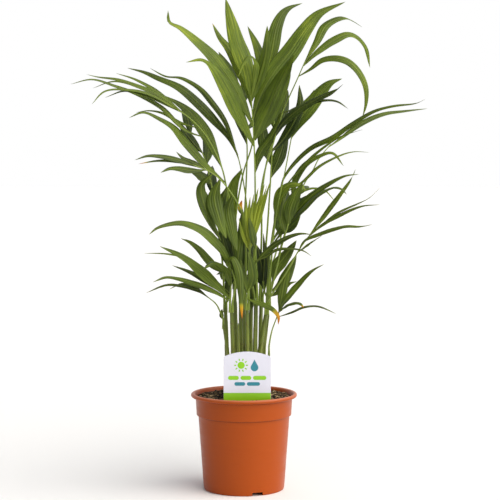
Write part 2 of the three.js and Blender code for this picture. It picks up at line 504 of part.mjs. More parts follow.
function leafletPoints(leaflet, stalk, turn) {
  const [, depth, root, ...drawn] = leaflet;
  const spread = (point) => {
    const scale = 1 + point.y / VIEW.distance;
    return [point.x / scale, VIEW.height + (point.z - VIEW.height) / scale];
  };
  const base = stalk.reduce((best, point) => {
    const [x, z] = spread(point);
    const away = Math.hypot(x - root[0], z - root[1]);
    return away < best.away ? { away, point } : best;
  }, { away: Infinity }).point;
  return [base, ...drawn.map(([x, z], i) => {
    const share = ((i + 1) / drawn.length) ** 1.2;
    return placed(x, z, base.y + (depth + turn) * share);
  })];
}

function makeLeaflet(leaflet, points, margin, from) {
  const curve = new THREE.CatmullRomCurve3(points);
  const rings = [];
  for (let i = 0; i <= BLADE.steps; i += 1) {
    const along = from + (1 - from) * (i / BLADE.steps);
    const centre = curve.getPointAt(along);
    const tangent = curve.getTangentAt(along);
    const roll = THREE.MathUtils.degToRad(BLADE.roll + BLADE.twist * along);
    const facing = new THREE.Vector3(0, -Math.cos(roll), Math.sin(roll));
    const across = new THREE.Vector3().crossVectors(tangent, facing).normalize();
    const up = new THREE.Vector3().crossVectors(across, tangent).normalize();
    if (i === BLADE.steps) {
      rings.push([centre.addScaledVector(tangent, margin)]);
      break;
    }
    const half = Math.max(BLADE.narrowest, (leaflet[0] / 2) * bladeWidth(along)) + margin;
    const thick = BLADE.thick / 2 + margin;
    const edge = centre.clone().addScaledVector(up, -BLADE.fold * half);
    rings.push([
      edge.clone().addScaledVector(across, half),
      centre.clone().addScaledVector(up, thick),
      edge.clone().addScaledVector(across, -half),
      centre.clone().addScaledVector(up, -thick)]);
  }
  return solid(loft(rings));
}

// Everything placed so far, as [owner, solid, box], so that each new leaflet can be turned clear of it
const occupied = [];

function occupy(owner, manifold) {
  occupied.push([owner, manifold, manifold.boundingBox()]);
}

function clearOfOthers(owner, manifold, ownToo) {
  const box = manifold.boundingBox();
  return occupied.every(([name, other, otherBox]) => {
    if (name === owner && !ownToo) return true;
    const apart = [0, 1, 2].some((axis) => (
      box.min[axis] > otherBox.max[axis] || otherBox.min[axis] > box.max[axis]));
    return apart || manifold.intersect(other).volume() < TOUCH;
  });
}

function addPlant() {
  const planted = [makeLabel(GAP)];
  occupy('plant_label', makeLabel(GAP));
  STEMS.forEach((stem) => {
    const stemSolid = makeStem(stem, 0);
    occupy(stem[0], stemSolid);
    planted.push(makeStem(stem, GAP));
    addPiece(stem[0], stemSolid, COLOURS.stem, 0.55);
  });
  const stalks = FRONDS.map((frond) => {
    const points = stalkPoints(frond);
    const stalk = rod(points, frond[4], STALK_SIDES, points.length + 3, 0);
    occupy(frond[0], stalk);
    return { stalk, spine: new THREE.CatmullRomCurve3(points).getSpacedPoints(SPINE_POINTS) };
  });
  FRONDS.forEach((frond, index) => {
    const { stalk, spine } = stalks[index];
    const leaflets = frond[5].map((leaflet) => {
      const turn = DEPTH_TRIES.find((tried) => {
        const points = leafletPoints(leaflet, spine, tried);
        return clearOfOthers(frond[0], makeLeaflet(leaflet, points, GAP, 0), false)
          && clearOfOthers(frond[0], makeLeaflet(leaflet, points, GAP, BLADE.free), true);
      });
      const blade = makeLeaflet(leaflet, leafletPoints(leaflet, spine, turn), 0, 0);
      occupy(frond[0], blade);
      return blade;
    });
    addPiece(frond[0], unionOf([stalk, ...leaflets]), COLOURS.leaf, 0.5);
  });
  addPiece('plant_label', makeLabel(0), COLOURS.label, 0.45);
  addPiece('potting_compost', makeCompost(planted), COLOURS.compost, 0.95);
}

addPiece('pot', makePot(), COLOURS.terracotta, 0.5);
addPlant();

export default palm;
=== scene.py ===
"""Potted palm: a clump of feather-palm seedlings in a plastic nursery pot of compost, with a stick-in label.
Metres, +Z up, the front along -Y. The origin is the middle of the pot's foot."""

import math
import random

import bpy
import numpy as np
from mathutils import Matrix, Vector, noise


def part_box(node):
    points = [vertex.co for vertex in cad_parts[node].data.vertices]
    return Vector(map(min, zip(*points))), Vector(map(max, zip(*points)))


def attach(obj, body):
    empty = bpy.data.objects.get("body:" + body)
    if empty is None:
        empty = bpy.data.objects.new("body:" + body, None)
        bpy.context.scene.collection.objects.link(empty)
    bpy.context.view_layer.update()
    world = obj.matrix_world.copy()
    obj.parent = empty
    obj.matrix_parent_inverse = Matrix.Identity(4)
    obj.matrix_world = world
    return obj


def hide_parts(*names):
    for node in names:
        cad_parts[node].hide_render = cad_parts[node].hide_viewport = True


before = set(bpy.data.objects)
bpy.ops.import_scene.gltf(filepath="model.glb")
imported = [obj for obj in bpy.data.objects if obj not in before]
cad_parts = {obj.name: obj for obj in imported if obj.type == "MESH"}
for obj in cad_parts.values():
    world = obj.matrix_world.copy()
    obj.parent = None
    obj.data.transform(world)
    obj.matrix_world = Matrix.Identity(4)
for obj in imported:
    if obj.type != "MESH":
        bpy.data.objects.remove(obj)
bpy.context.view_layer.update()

# The studio: a wide sheet of matt white board under the pot, one large soft lamp at the front right, and a
# white room, brighter to the right, above and behind, that fills the shadows.
MM = 0.001
BOARD_HALF = 20.0
LENS = 115.1
CAMERA_AT = Vector((-0.002, -2.547, 0.546))
AIM = Vector((0.0097, 0.0, 0.3844))
KEY_FROM = (0.74, -0.5, 0.72)  # the lamp, far enough away to light the whole board evenly
KEY_STRENGTH, KEY_SPREAD = 3.2, 78.0  # the spread is the angle that the lamp covers, in degrees
ROOM_BRIGHTENS = (0.32, -0.05, 0.44)  # the direction in which the room grows lighter, and how fast
ROOM_DIM, BACKDROP = 0.16, 0.75


def linear(code):
    """A colour written as sRGB hex, as linear red, green, blue and alpha."""
    shares = [int(code[at:at + 2], 16) / 255 for at in (1, 3, 5)]
    return [s / 12.92 if s <= 0.04045 else ((s + 0.055) / 1.055) ** 2.4 for s in shares] + [1.0]


def add(tree, kind, inputs, **settings):
    """Adds a node: settings are its own values, inputs its sockets' numbers, colours or links."""
    made = tree.nodes.new("ShaderNode" + kind)
    for name, value in settings.items():
        setattr(made, name, value)
    for name, value in inputs.items():
        if isinstance(value, bpy.types.NodeSocket):
            tree.links.new(value, made.inputs[name])
        else:
            made.inputs[name].default_value = value
    return made


def finish_material(name, surface):
    """A material whose nodes surface(tree) makes; it returns the last shader's output."""
    material = bpy.data.materials.new(name)
    material.use_nodes = True
    material.node_tree.nodes.clear()
    shader = surface(material.node_tree)
    add(material.node_tree, "OutputMaterial", {"Surface": shader})
    return material


def make_piece(name, points, faces, materials, which=None, sharp=None, **fields):
    """A mesh object from points in millimetres. which is each face's material, sharp the angle of a hard
    edge, and fields hold one vector a point for the material to read."""
    mesh = bpy.data.meshes.new(name)
    mesh.from_pydata((np.asarray(points) * MM).tolist(), [], faces)
    for material in materials:
        mesh.materials.append(material)
    if which is not None:
        mesh.polygons.foreach_set("material_index", which)
    for field, values in fields.items():
        made = mesh.attributes.new(field, "FLOAT_VECTOR", "POINT")
        made.data.foreach_set("vector", np.asarray(values, np.float32).ravel())
    mesh.validate()
    mesh.shade_smooth()
    if sharp:
        mesh.set_sharp_from_angle(angle=math.radians(sharp))
    made = bpy.data.objects.new(name, mesh)
    bpy.context.scene.collection.objects.link(made)
    return made


def board_surface(tree):
    """Matt board: one pale tone with the faintest cloudiness."""
    cloud = add(tree, "TexNoise", {"Scale": 3.0, "Detail": 2.0})
    tone = add(tree, "Mix", {0: cloud.outputs["Fac"], 6: linear("#fafafa"), 7: linear("#fdfdfd")},
               data_type="RGBA")
    return add(tree, "BsdfPrincipled", {"Base Color": tone.outputs[2], "Roughness": 0.9}).outputs["BSDF"]


corner = BOARD_HALF / MM
board_corners = [(-corner, -corner, 0), (corner, -corner, 0), (corner, corner, 0), (-corner, corner, 0)]
floor = make_piece("studio_board", board_corners, [(0, 1, 2, 3)],
                   [finish_material("matt_white_board", board_surface)])

key = bpy.data.lights.new("key_lamp", "SUN")
key.energy, key.angle, key.color = KEY_STRENGTH, math.radians(KEY_SPREAD), linear("#fff9f0")[:3]
key_object = bpy.data.objects.new("key_lamp", key)
key_object.rotation_euler = Vector(KEY_FROM).to_track_quat("Z", "Y").to_euler()
bpy.context.scene.collection.objects.link(key_object)

room = bpy.data.worlds.new("white_room")
room.use_nodes = True
room.node_tree.nodes.clear()
way = add(room.node_tree, "TexCoord", {}).outputs["Generated"]
walls = add(room.node_tree, "VectorMath", {0: way, 1: ROOM_BRIGHTENS}, operation="DOT_PRODUCT")
sides = add(room.node_tree, "Math", {0: walls.outputs["Value"], 1: ROOM_DIM}, operation="ADD", use_clamp=True)
depth = add(room.node_tree, "SeparateXYZ", {0: way}).outputs["Y"]
backdrop = add(room.node_tree, "MapRange", {0: depth, 1: 0.1, 2: 0.7, 3: 0.0, 4: BACKDROP})
glow = add(room.node_tree, "Math", {0: sides.outputs[0], 1: backdrop.outputs[0]}, operation="MAXIMUM")
seen = add(room.node_tree, "Background", {"Color": linear("#ffffff"), "Strength": 1.0})
fill = add(room.node_tree, "Background", {"Color": linear("#f9fbff"), "Strength": glow.outputs[0]})
ray = add(room.node_tree, "LightPath", {})
both = add(room.node_tree, "MixShader", {0: ray.outputs["Is Camera Ray"], 1: fill.outputs[0],
                                         2: seen.outputs[0]})
add(room.node_tree, "OutputWorld", {"Surface": both.outputs[0]})
bpy.context.scene.world = room

camera = bpy.data.objects.new("camera", bpy.data.cameras.new("camera"))
camera.data.lens = LENS
camera.data.clip_end = 100.0
camera.location = CAMERA_AT
camera.rotation_euler = (AIM - CAMERA_AT).to_track_quat("-Z", "Y").to_euler()
bpy.context.scene.collection.objects.link(camera)
bpy.context.scene.camera = camera
bpy.context.scene.view_settings.view_transform = "Standard"


# The pot: one injection-moulded polypropylene shell, 1.6 mm thick, with a rolled rim, a deep collar that the
# next pot in a stack rests on, a tapering wall, and a foot ring cut by notches so that water can run away.
RIM_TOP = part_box("pot")[1].z / MM
RIM_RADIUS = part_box("pot")[1].x / MM
WALL = 1.6
COLLAR_FOOT = 120.0
LIP_FOOT = RIM_TOP - 6.5
FOOT_RADIUS = 65.0
WAIST_RADIUS = 73.2
COLLAR_RADII = (76.1, 77.6)
FLOOR_UNDER, FLOOR_TOP = 6.0, 8.0
PAD_RADIUS = 14.0
POT_SIDES = 144
LIP_ROUND = 3.1
LEDGE_SHADE_DEPTH = 2.4  # how far the painted shade reaches down under each ledge
NOTCHES = {"count": 3, "width": 18.0, "depth": 8.0, "height": 5.8, "first": 19.6}
DRAINS = {"count": 8, "radius": 4.5, "ring": 44.0, "sides": 32}


def arc(centre, radius, start, end, count):
    """Points (radius, height) round part of a circle, between two angles in degrees."""
    turns = np.radians(np.linspace(start, end, count))
    return [(centre[0] + radius * math.cos(a), centre[1] + radius * math.sin(a)) for a in turns]


def lathe(profile, sides):
    """Turns a profile of (radius, height), whose two ends are on the axis, into a closed body."""
    points, rings = [], []
    for radius, height in profile:
        if radius < 1e-6:
            rings.append([len(points)] * sides)
            points.append((0.0, 0.0, height))
            continue
        rings.append(list(range(len(points), len(points) + sides)))
        for side in range(sides):
            turn = 2 * math.pi * side / sides
            points.append((radius * math.cos(turn), radius * math.sin(turn), height))
    return points, skin(rings)


def skin(rings, thin=False):
    """Faces between rings of point numbers; a ring that is one point repeated closes to that point. A thin
    blade is divided into triangles, on its underside as a mirror of its top, so that its skins never cross."""
    faces = []
    for below, above in zip(rings, rings[1:]):
        for side, here in enumerate(below):
            after = (side + 1) % len(below)
            face = [here, below[after], above[after], above[side]]
            parts = [face]
            if thin and side < len(below) / 2:
                parts = [face[:3], [face[0], face[2], face[3]]]
            elif thin:
                parts = [[face[0], face[1], face[3]], face[1:]]
            for part in parts:
                part = [p for at, p in enumerate(part) if p not in part[:at]]
                if len(part) > 2:
                    faces.append(part)
    return faces


def round_bar(radius, low, high, sides, centre):
    """A closed upright bar, to cut a drain hole."""
    turns = [2 * math.pi * side / sides for side in range(sides)]
    rings = [[(centre[0] + radius * math.cos(a), centre[1] + radius * math.sin(a), z) for a in turns]
             for z in (low, high)]
    faces = skin([list(range(sides)), list(range(sides, 2 * sides))])
    return rings[0] + rings[1], faces + [list(range(sides))[::-1], list(range(sides, 2 * sides))]


def notch_block(width, depth, height, turn):
    """A closed block with rounded top corners across the foot ring, to cut a notch."""
    corner_radius = 1.5
    top = arc((width / 2 - corner_radius, height - corner_radius), corner_radius, 0, 90, 5)
    outline = [(width / 2, -height)] + top + [(-x, z) for x, z in reversed(top)] + [(-width / 2, -height)]
    across = Vector((math.cos(turn), math.sin(turn), 0))
    out = Vector((math.sin(turn), -math.cos(turn), 0))
    points = [across * x + out * away + Vector((0, 0, z))
              for away in (FOOT_RADIUS - depth, FOOT_RADIUS + depth) for x, z in outline]
    count = len(outline)
    faces = skin([list(range(count)), list(range(count, 2 * count))])
    return points, faces + [list(range(count))[::-1], list(range(count, 2 * count))]


def joined(bodies):
    """Several (points, faces) as one."""
    points, faces = [], []
    for some_points, some_faces in bodies:
        faces += [[p + len(points) for p in face] for face in some_faces]
        points += list(some_points)
    return points, faces


lip_middle = (RIM_RADIUS - LIP_ROUND, LIP_FOOT + 3.3)
outside = ([(0, 0), (PAD_RADIUS - 0.6, 0)] + arc((PAD_RADIUS - 0.8, 0.8), 0.8, -90, 0, 4)
           + [(PAD_RADIUS, FLOOR_UNDER), (FOOT_RADIUS - 5, FLOOR_UNDER), (FOOT_RADIUS - 5, 0.4)]
           + [(FOOT_RADIUS - 4.6, 0), (FOOT_RADIUS - 3.4, 0)]
           + arc((FOOT_RADIUS - 3.4, 3.0), 3.0, -80, -8, 7)
           + [(FOOT_RADIUS + (WAIST_RADIUS - FOOT_RADIUS) * s, 4 + (COLLAR_FOOT - 5.2) * s)
              for s in np.linspace(0.05, 1, 18)]
           + [(WAIST_RADIUS + 0.4, COLLAR_FOOT - 0.4)]
           + arc((COLLAR_RADII[0] - 1.0, COLLAR_FOOT + 0.9), 1.0, -80, 0, 5)
           + [(COLLAR_RADII[0] + (COLLAR_RADII[1] - COLLAR_RADII[0]) * s,
               COLLAR_FOOT + 1 + (LIP_FOOT - COLLAR_FOOT - 2) * s) for s in np.linspace(0.1, 1, 8)]
           + [(COLLAR_RADII[1] + 0.5, LIP_FOOT - 0.3), (RIM_RADIUS - 3.4, LIP_FOOT)]
           + arc(lip_middle, LIP_ROUND, -75, 90, 12))
inside = ([(RIM_RADIUS - 4.6, RIM_TOP - 0.3), (RIM_RADIUS - 5.8, RIM_TOP - 1.2)]
          + [(COLLAR_RADII[1] - WALL, LIP_FOOT - 2)]
          + [(COLLAR_RADII[0] - WALL, COLLAR_FOOT + 2.4), (WAIST_RADIUS - WALL, COLLAR_FOOT - 1.4)]
          + [(FOOT_RADIUS + (WAIST_RADIUS - FOOT_RADIUS) * s - WALL,
              FLOOR_TOP + (COLLAR_FOOT - FLOOR_TOP) * s) for s in np.linspace(0.95, 0.03, 12)]
          + [(FOOT_RADIUS - 4.4, FLOOR_TOP), (0, FLOOR_TOP)])
cuts = []
for i in range(NOTCHES["count"]):
    turn = math.radians(NOTCHES["first"] + 360 * i / NOTCHES["count"])
    cuts.append(notch_block(NOTCHES["width"], NOTCHES["depth"], NOTCHES["height"], turn))
for i in range(DRAINS["count"]):
    turn = 2 * math.pi * (i + 0.5) / DRAINS["count"]
    cuts.append(round_bar(DRAINS["radius"], FLOOR_UNDER - 4, FLOOR_TOP + 4, DRAINS["sides"],
                          (DRAINS["ring"] * math.cos(turn), DRAINS["ring"] * math.sin(turn))))


def pot_surface(tree):
    """Moulded polypropylene, coloured through: satin, a little chalky, with faint flow marks round the wall,
    paler at the rim top with a painted highlight and some rubbing, smeared with compost inside, and darker
    under its ledges with painted shade."""
    place = add(tree, "TexCoord", {}).outputs["Object"]
    axes = add(tree, "SeparateXYZ", {0: place})
    height = axes.outputs["Z"]
    flow = add(tree, "Mapping", {"Vector": place, "Scale": (22, 22, 160)})
    marks = add(tree, "TexNoise", {"Vector": flow.outputs[0], "Scale": 1.0, "Detail": 4.0})
    cloud = add(tree, "TexNoise", {"Vector": place, "Scale": 18.0, "Detail": 3.0})
    grain = add(tree, "TexNoise", {"Vector": place, "Scale": 1600.0, "Detail": 2.0})
    tone = add(tree, "Mix", {0: marks.outputs["Fac"], 6: linear("#a04206"), 7: linear("#aa4b08")},
               data_type="RGBA")
    cloudy = add(tree, "Mix", {0: cloud.outputs["Fac"], 6: tone.outputs[2], 7: linear("#a44606")},
                 data_type="RGBA")
    # Painted highlight, with some rubbing wear: the top few millimetres of the rim are mixed towards a pale
    # pink.
    rim_highlight_and_rub = add(tree, "MapRange", {0: height, 1: (RIM_TOP - 3.2) * MM, 2: (RIM_TOP - 0.6) * MM, 3: 0.0, 4: 0.5})
    rim = add(tree, "Mix", {0: rim_highlight_and_rub.outputs[0], 6: cloudy.outputs[2], 7: linear("#d98a6c")}, data_type="RGBA")
    flat = add(tree, "CombineXYZ", {0: axes.outputs[0], 1: axes.outputs[1]})
    radius = add(tree, "VectorMath", {0: flat.outputs[0]}, operation="LENGTH").outputs["Value"]
    mouth = COLLAR_RADII[1] - 0.9
    inner = add(tree, "MapRange", {0: radius, 1: (mouth + 0.2) * MM, 2: (mouth - 0.2) * MM, 3: 0.0, 4: 1.0})
    above = add(tree, "MapRange", {0: height, 1: (RIM_TOP - 9.5) * MM, 2: (RIM_TOP - 9) * MM, 3: 0.0, 4: 1.0})
    deep = add(tree, "MapRange", {0: height, 1: RIM_TOP * MM, 2: (RIM_TOP - 3) * MM, 3: 0.0,
                                  4: above.outputs[0]})
    soiled = add(tree, "Math", {0: inner.outputs[0], 1: deep.outputs[0]}, operation="MULTIPLY").outputs[0]
    smear = add(tree, "TexNoise", {"Vector": place, "Scale": 160.0, "Detail": 5.0})
    patch = add(tree, "MapRange", {0: smear.outputs["Fac"], 1: 0.3, 2: 0.5, 3: 0.0, 4: 0.85}).outputs[0]
    soil = add(tree, "Math", {0: soiled, 1: patch}, operation="MULTIPLY").outputs[0]
    stained = add(tree, "Mix", {0: soil, 6: rim.outputs[2], 7: linear("#3a2416")}, data_type="RGBA")
    # Painted shade: a dark band on the wall just under the collar and just under the lip, where the ledges
    # shade it.
    corners = []
    for top in (COLLAR_FOOT, LIP_FOOT):
        under = add(tree, "MapRange", {0: height, 1: (top + 0.1) * MM, 2: (top - 0.1) * MM, 3: 0.0, 4: 0.6})
        corners.append(add(tree, "MapRange", {0: height, 1: (top - LEDGE_SHADE_DEPTH) * MM, 2: (top - 0.4) * MM,
                                              3: 0.0, 4: under.outputs[0]}))
    ledge_shade = add(tree, "Math", {0: corners[0].outputs[0], 1: corners[1].outputs[0]}, operation="ADD")
    colour = add(tree, "Mix", {0: ledge_shade.outputs[0], 6: stained.outputs[2], 7: linear("#4c1f0a")},
                 data_type="RGBA")
    rough = add(tree, "MapRange", {0: marks.outputs["Fac"], 1: 0.3, 2: 0.7, 3: 0.3, 4: 0.42})
    height_map = add(tree, "Math", {0: marks.outputs["Fac"], 1: grain.outputs["Fac"]}, operation="ADD")
    bump = add(tree, "Bump", {"Height": height_map.outputs[0], "Strength": 0.12, "Distance": 0.0004})
    return add(tree, "BsdfPrincipled", {"Base Color": colour.outputs[2], "Roughness": rough.outputs[0],
                                        "IOR": 1.49, "Specular IOR Level": 0.22,
                                        "Normal": bump.outputs[0]}).outputs["BSDF"]


pot = make_piece("nursery_pot", *lathe(outside + inside, POT_SIDES),
                 [finish_material("moulded_terracotta_polypropylene", pot_surface)])
cutter = make_piece("pot_cuts", *joined(cuts), [])
trim = pot.modifiers.new("notches_and_drains", "BOOLEAN")
trim.object, trim.solver = cutter, "EXACT"
bpy.context.view_layer.update()
pot.data = bpy.data.meshes.new_from_object(pot.evaluated_get(bpy.context.evaluated_depsgraph_get()))
pot.modifiers.clear()
bpy.data.objects.remove(cutter)
pot.data.shade_smooth()
pot.data.set_sharp_from_angle(angle=math.radians(35))
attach(pot, "root")
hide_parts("pot")


# The compost: peat with coir and bark, filled to just under the rim and settled by watering. The body follows
# the pot's inside; loose crumbs, bark chips and root fibres lie on top of it.
COMPOST_TOP = 150.0
COMPOST_RADIUS = COLLAR_RADII[0] - WALL - 0.3
COMPOST_SIDES = 120
CRUMBS, CHIPS, FIBRES = 1300, 480, 60
FIBRE_RADIUS = 0.28
rng = random.Random(29)


def compost_height(x, y):
    """The lumpy top, a little higher round the clump and lower at the pot's wall."""
    away = math.hypot(x, y) / COMPOST_RADIUS
    lumps = noise.noise(Vector((x / 14, y / 14, 3.0))) * 2.6 + noise.noise(Vector((x / 5, y / 5, 8.0))) * 1.3
    grit = noise.noise(Vector((x / 1.8, y / 1.8, 1.0))) * 0.7
    return COMPOST_TOP + 1.6 * math.exp(-(away / 0.5) ** 2) - 1.2 * away ** 6 + 0.7 * lumps + grit


side_rings = [(FOOT_RADIUS - 4.8, FLOOR_TOP + 0.3), (FOOT_RADIUS - 2.2, FLOOR_TOP + 2.6),
              (WAIST_RADIUS - WALL - 0.4, COLLAR_FOOT - 1.4), (COMPOST_RADIUS, COLLAR_FOOT + 2.8)]
compost_points = [(0.0, 0.0, FLOOR_TOP + 0.3)]
compost_rings = [[0] * COMPOST_SIDES]
for radius, height in side_rings + [(COMPOST_RADIUS * s, None) for s in np.linspace(1, 0.02, 50)]:
    compost_rings.append(list(range(len(compost_points), len(compost_points) + COMPOST_SIDES)))
    for side in range(COMPOST_SIDES):
        x = radius * math.cos(2 * math.pi * side / COMPOST_SIDES)
        y = radius * math.sin(2 * math.pi * side / COMPOST_SIDES)
        compost_points.append((x, y, compost_height(x, y) if height is None else height))
compost_rings.append([len(compost_points)] * COMPOST_SIDES)
compost_points.append((0.0, 0.0, compost_height(0, 0)))


def compost_surface(tree):
    """Moist peat: matt, with painted shade: nearly black in the hollows and warm brown on the lumps, with paler
    fibre flecks.
    """
    place = add(tree, "TexCoord", {}).outputs["Object"]
    lumps = add(tree, "TexNoise", {"Vector": place, "Scale": 260.0, "Detail": 6.0, "Roughness": 0.7})
    grains = add(tree, "TexVoronoi", {"Vector": place, "Scale": 700.0})
    flecks = add(tree, "MapRange", {0: grains.outputs["Color"], 1: 0.8, 2: 0.95, 3: 0.0, 4: 0.7})
    # Painted shade: the colour follows the bump's own noise, nearly black where the bump is low and warm brown
    # where it is high.
    dark = add(tree, "Mix", {0: lumps.outputs["Fac"], 6: linear("#0d0805"), 7: linear("#302012")},
               data_type="RGBA")
    colour = add(tree, "Mix", {0: flecks.outputs[0], 6: dark.outputs[2], 7: linear("#8a6844")},
                 data_type="RGBA")
    bump = add(tree, "Bump", {"Height": lumps.outputs["Fac"], "Strength": 0.9, "Distance": 0.0015})
    return add(tree, "BsdfPrincipled", {"Base Color": colour.outputs[2], "Roughness": 0.93,
                                        "Normal": bump.outputs[0]}).outputs["BSDF"]


compost = make_piece("potting_compost_bed", compost_points, skin(compost_rings),
                     [finish_material("moist_peat", compost_surface)])
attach(compost, "root")
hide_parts("potting_compost")


def crumb(size, flatness, length, at, turn):
    """A small broken lump: a six-cornered double cone with uneven corners, turned and set down at a place."""
    sides = 6
    rings = [[(0.0, 0.0, -1.0)]]
    for level, wide in ((-0.55, 0.75), (0.1, 1.0), (0.65, 0.6)):
        rings.append([(wide * rng.uniform(0.7, 1.15) * math.cos(2 * math.pi * s / sides + level),
                       wide * rng.uniform(0.7, 1.15) * math.sin(2 * math.pi * s / sides + level),
                       level + rng.uniform(-0.12, 0.12)) for s in range(sides)])
    rings.append([(0.0, 0.0, 1.0)])
    points, numbers = [], []
    for ring in rings:
        start = len(points)
        numbers.append([start] * sides if len(ring) == 1 else list(range(start, start + sides)))
        points += ring
    lean = Vector((rng.gauss(0, 0.35), rng.gauss(0, 0.35), 1)).normalized()
    tip = lean.rotation_difference(Vector((0, 0, 1)))
    placed_points = []
    for x, y, z in points:
        point = Vector((x * size * length, y * size, z * size * flatness))
        point = Vector((point.x * math.cos(turn) - point.y * math.sin(turn),
                        point.x * math.sin(turn) + point.y * math.cos(turn), point.z))
        placed_points.append(at + tip @ point)
    return placed_points, skin(numbers)


def compost_spot(most):
    """A place on the compost out to a share of its radius, each part as likely as its area."""
    away = COMPOST_RADIUS * most * math.sqrt(rng.random())
    turn = rng.uniform(0, 2 * math.pi)
    x, y = away * math.cos(turn), away * math.sin(turn)
    return Vector((x, y, compost_height(x, y)))


def litter_surface(tree):
    """Coir, bark and wood fibre: dry matt bits from dark brown to straw, each bit its own shade."""
    shade = add(tree, "Attribute", {}, attribute_name="shade").outputs["Vector"]
    pick = add(tree, "SeparateXYZ", {0: shade}).outputs["X"]
    place = add(tree, "TexCoord", {}).outputs["Object"]
    grain = add(tree, "TexNoise", {"Vector": place, "Scale": 900.0, "Detail": 3.0})
    ramp = add(tree, "ValToRGB", {"Fac": pick})
    ramp.color_ramp.elements[0].color = linear("#100905")
    ramp.color_ramp.elements[1].color = linear("#d8ba88")
    middle = ramp.color_ramp.elements.new(0.62)
    middle.color = linear("#54401f")
    dirt = add(tree, "MapRange", {0: grain.outputs["Fac"], 1: 0.42, 2: 0.7, 3: 0.0, 4: 0.7})
    colour = add(tree, "Mix", {0: dirt.outputs[0], 6: ramp.outputs["Color"], 7: linear("#2c1a0f")},
                 data_type="RGBA")
    bump = add(tree, "Bump", {"Height": grain.outputs["Fac"], "Strength": 0.7, "Distance": 0.0005})
    return add(tree, "BsdfPrincipled", {"Base Color": colour.outputs[2], "Roughness": 0.88,
                                        "Normal": bump.outputs[0]}).outputs["BSDF"]


litter, shades = [], []
for i in range(CRUMBS + CHIPS):
    chip = i >= CRUMBS
    size = rng.uniform(1.2, 3.0) if chip else 0.6 + 1.9 * rng.random() ** 2.5
    lump = crumb(size, 0.35 if chip else 0.8, rng.uniform(1.4, 2.6) if chip else rng.uniform(0.9, 1.3),
                 compost_spot(0.95) + Vector((0, 0, size * 0.25)), rng.uniform(0, 2 * math.pi))
    litter.append(lump)
    shade = rng.uniform(0.3, 1.0) if chip else rng.random() ** 2.6
    shades += [(shade, 0, 0)] * len(lump[0])
for i in range(FIBRES):
    start = compost_spot(0.9) + Vector((0, 0, 0.5))
    way = rng.uniform(0, 2 * math.pi)
    line, bend = [], rng.uniform(-0.5, 0.5)
    for step in range(8):
        height = compost_height(start.x, start.y) + 0.4 + 0.8 * math.sin(math.pi * step / 7)
        line.append(Vector((start.x, start.y, height)))
        start = start + Vector((math.cos(way), math.sin(way), 0)) * 1.9
        way += bend * rng.uniform(0.4, 1.2)
        if math.hypot(start.x, start.y) > COMPOST_RADIUS - 2:
            break
    if len(line) < 3:
        continue
    thread = [[p + Vector((math.cos(a), math.sin(a), math.cos(a + 1.3))) * FIBRE_RADIUS
               for a in (0, 2.1, 4.2)] for p in line]
    points = [p for ring in thread for p in ring]
    numbers = [[3 * r, 3 * r + 1, 3 * r + 2] for r in range(len(thread))]
    litter.append((points, skin(numbers) + [numbers[0][::-1], numbers[-1]]))
    shades += [(rng.uniform(0.6, 1.0), 0, 0)] * len(points)
crumbs = make_piece("compost_crumbs", *joined(litter),
                    [finish_material("coir_and_bark_litter", litter_surface)], shade=shades)
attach(crumbs, "root")


# The label: a die-cut plate of white polystyrene sheet, 0.9 mm thick, with an arched top, whose spike is
# pushed into the compost. Its front is printed with a sun, a drop and plain bars over a green foot band.
LABEL_LOW, LABEL_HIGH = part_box("plant_label")
LABEL_X = (LABEL_LOW.x + LABEL_HIGH.x) / 2 / MM
LABEL_HALF = (LABEL_HIGH.x - LABEL_LOW.x) / 2 / MM
LABEL_FRONT, LABEL_BACK = LABEL_LOW.y / MM, LABEL_HIGH.y / MM
LABEL_TOP = LABEL_HIGH.z / MM
SPIKE_TIP = LABEL_LOW.z / MM
SHOULDER = LABEL_TOP - 8.0
SPIKE_TOP = 128.0
SPIKE_HALF = 8.0
SPIKE_POINT, SPIKE_NECK = 16.0, 10.0
CORNER = 5.5
INK = 0.07
PRINT_TEAL, PRINT_GREEN, PRINT_SUN = "#2a8798", "#8ece12", "#8ed016"
SUN = (-9.5, 207.5, 5.6)  # across, height, radius
SUN_RAYS = 10
DROP = (11.5, 204.0, 6.0)
GREEN_ROW, TEAL_ROW = (184.4, 190.8), (175.2, 181.0)  # the heights between which each row of bars lies
BAND = {"low": 141.0, "high": 164.0, "margin": 0.15}


def plate(outline, front, back, chamfer=0.0):
    """A flat closed plate from an outline of (across, height), its edge eased by a chamfer if there is one."""
    middle = (sum(x for x, _ in outline) / len(outline), sum(z for _, z in outline) / len(outline))
    layers = [(front, chamfer), (front + chamfer, 0.0), (back - chamfer, 0.0), (back, chamfer)]
    if not chamfer:
        layers = [(front, 0.0), (back, 0.0)]
    points, count = [], len(outline)
    for away, ease in layers:
        for x, z in outline:
            reach = math.hypot(x - middle[0], z - middle[1])
            keep = 1 - ease / reach
            points.append((LABEL_X + middle[0] + (x - middle[0]) * keep, away,
                           middle[1] + (z - middle[1]) * keep))
    rings = [list(range(i * count, (i + 1) * count)) for i in range(len(layers))]
    return points, skin(rings) + [rings[0][::-1], rings[-1]]


def top_arch(half, low, high, count):
    """The arched top edge from right to left: a round shoulder, a shallow crown and a round shoulder."""
    shoulder = arc((half - CORNER, low - CORNER + 2), CORNER, 0, 62, 7)
    crown_half, crown_foot = shoulder[-1]
    crown = [(crown_half * s, crown_foot + (high - crown_foot) * (1 - s * s))
             for s in np.linspace(1, -1, count)]
    return shoulder[:-1] + crown + [(-x, z) for x, z in reversed(shoulder[:-1])]


spike_side = [(SPIKE_HALF, SPIKE_TIP + SPIKE_POINT), (SPIKE_HALF, SPIKE_TOP - SPIKE_NECK),
              (LABEL_HALF, SPIKE_TOP)]
label_outline = (spike_side + top_arch(LABEL_HALF, SHOULDER, LABEL_TOP, 25)
                 + [(-x, z) for x, z in reversed(spike_side)] + [(0, SPIKE_TIP)])


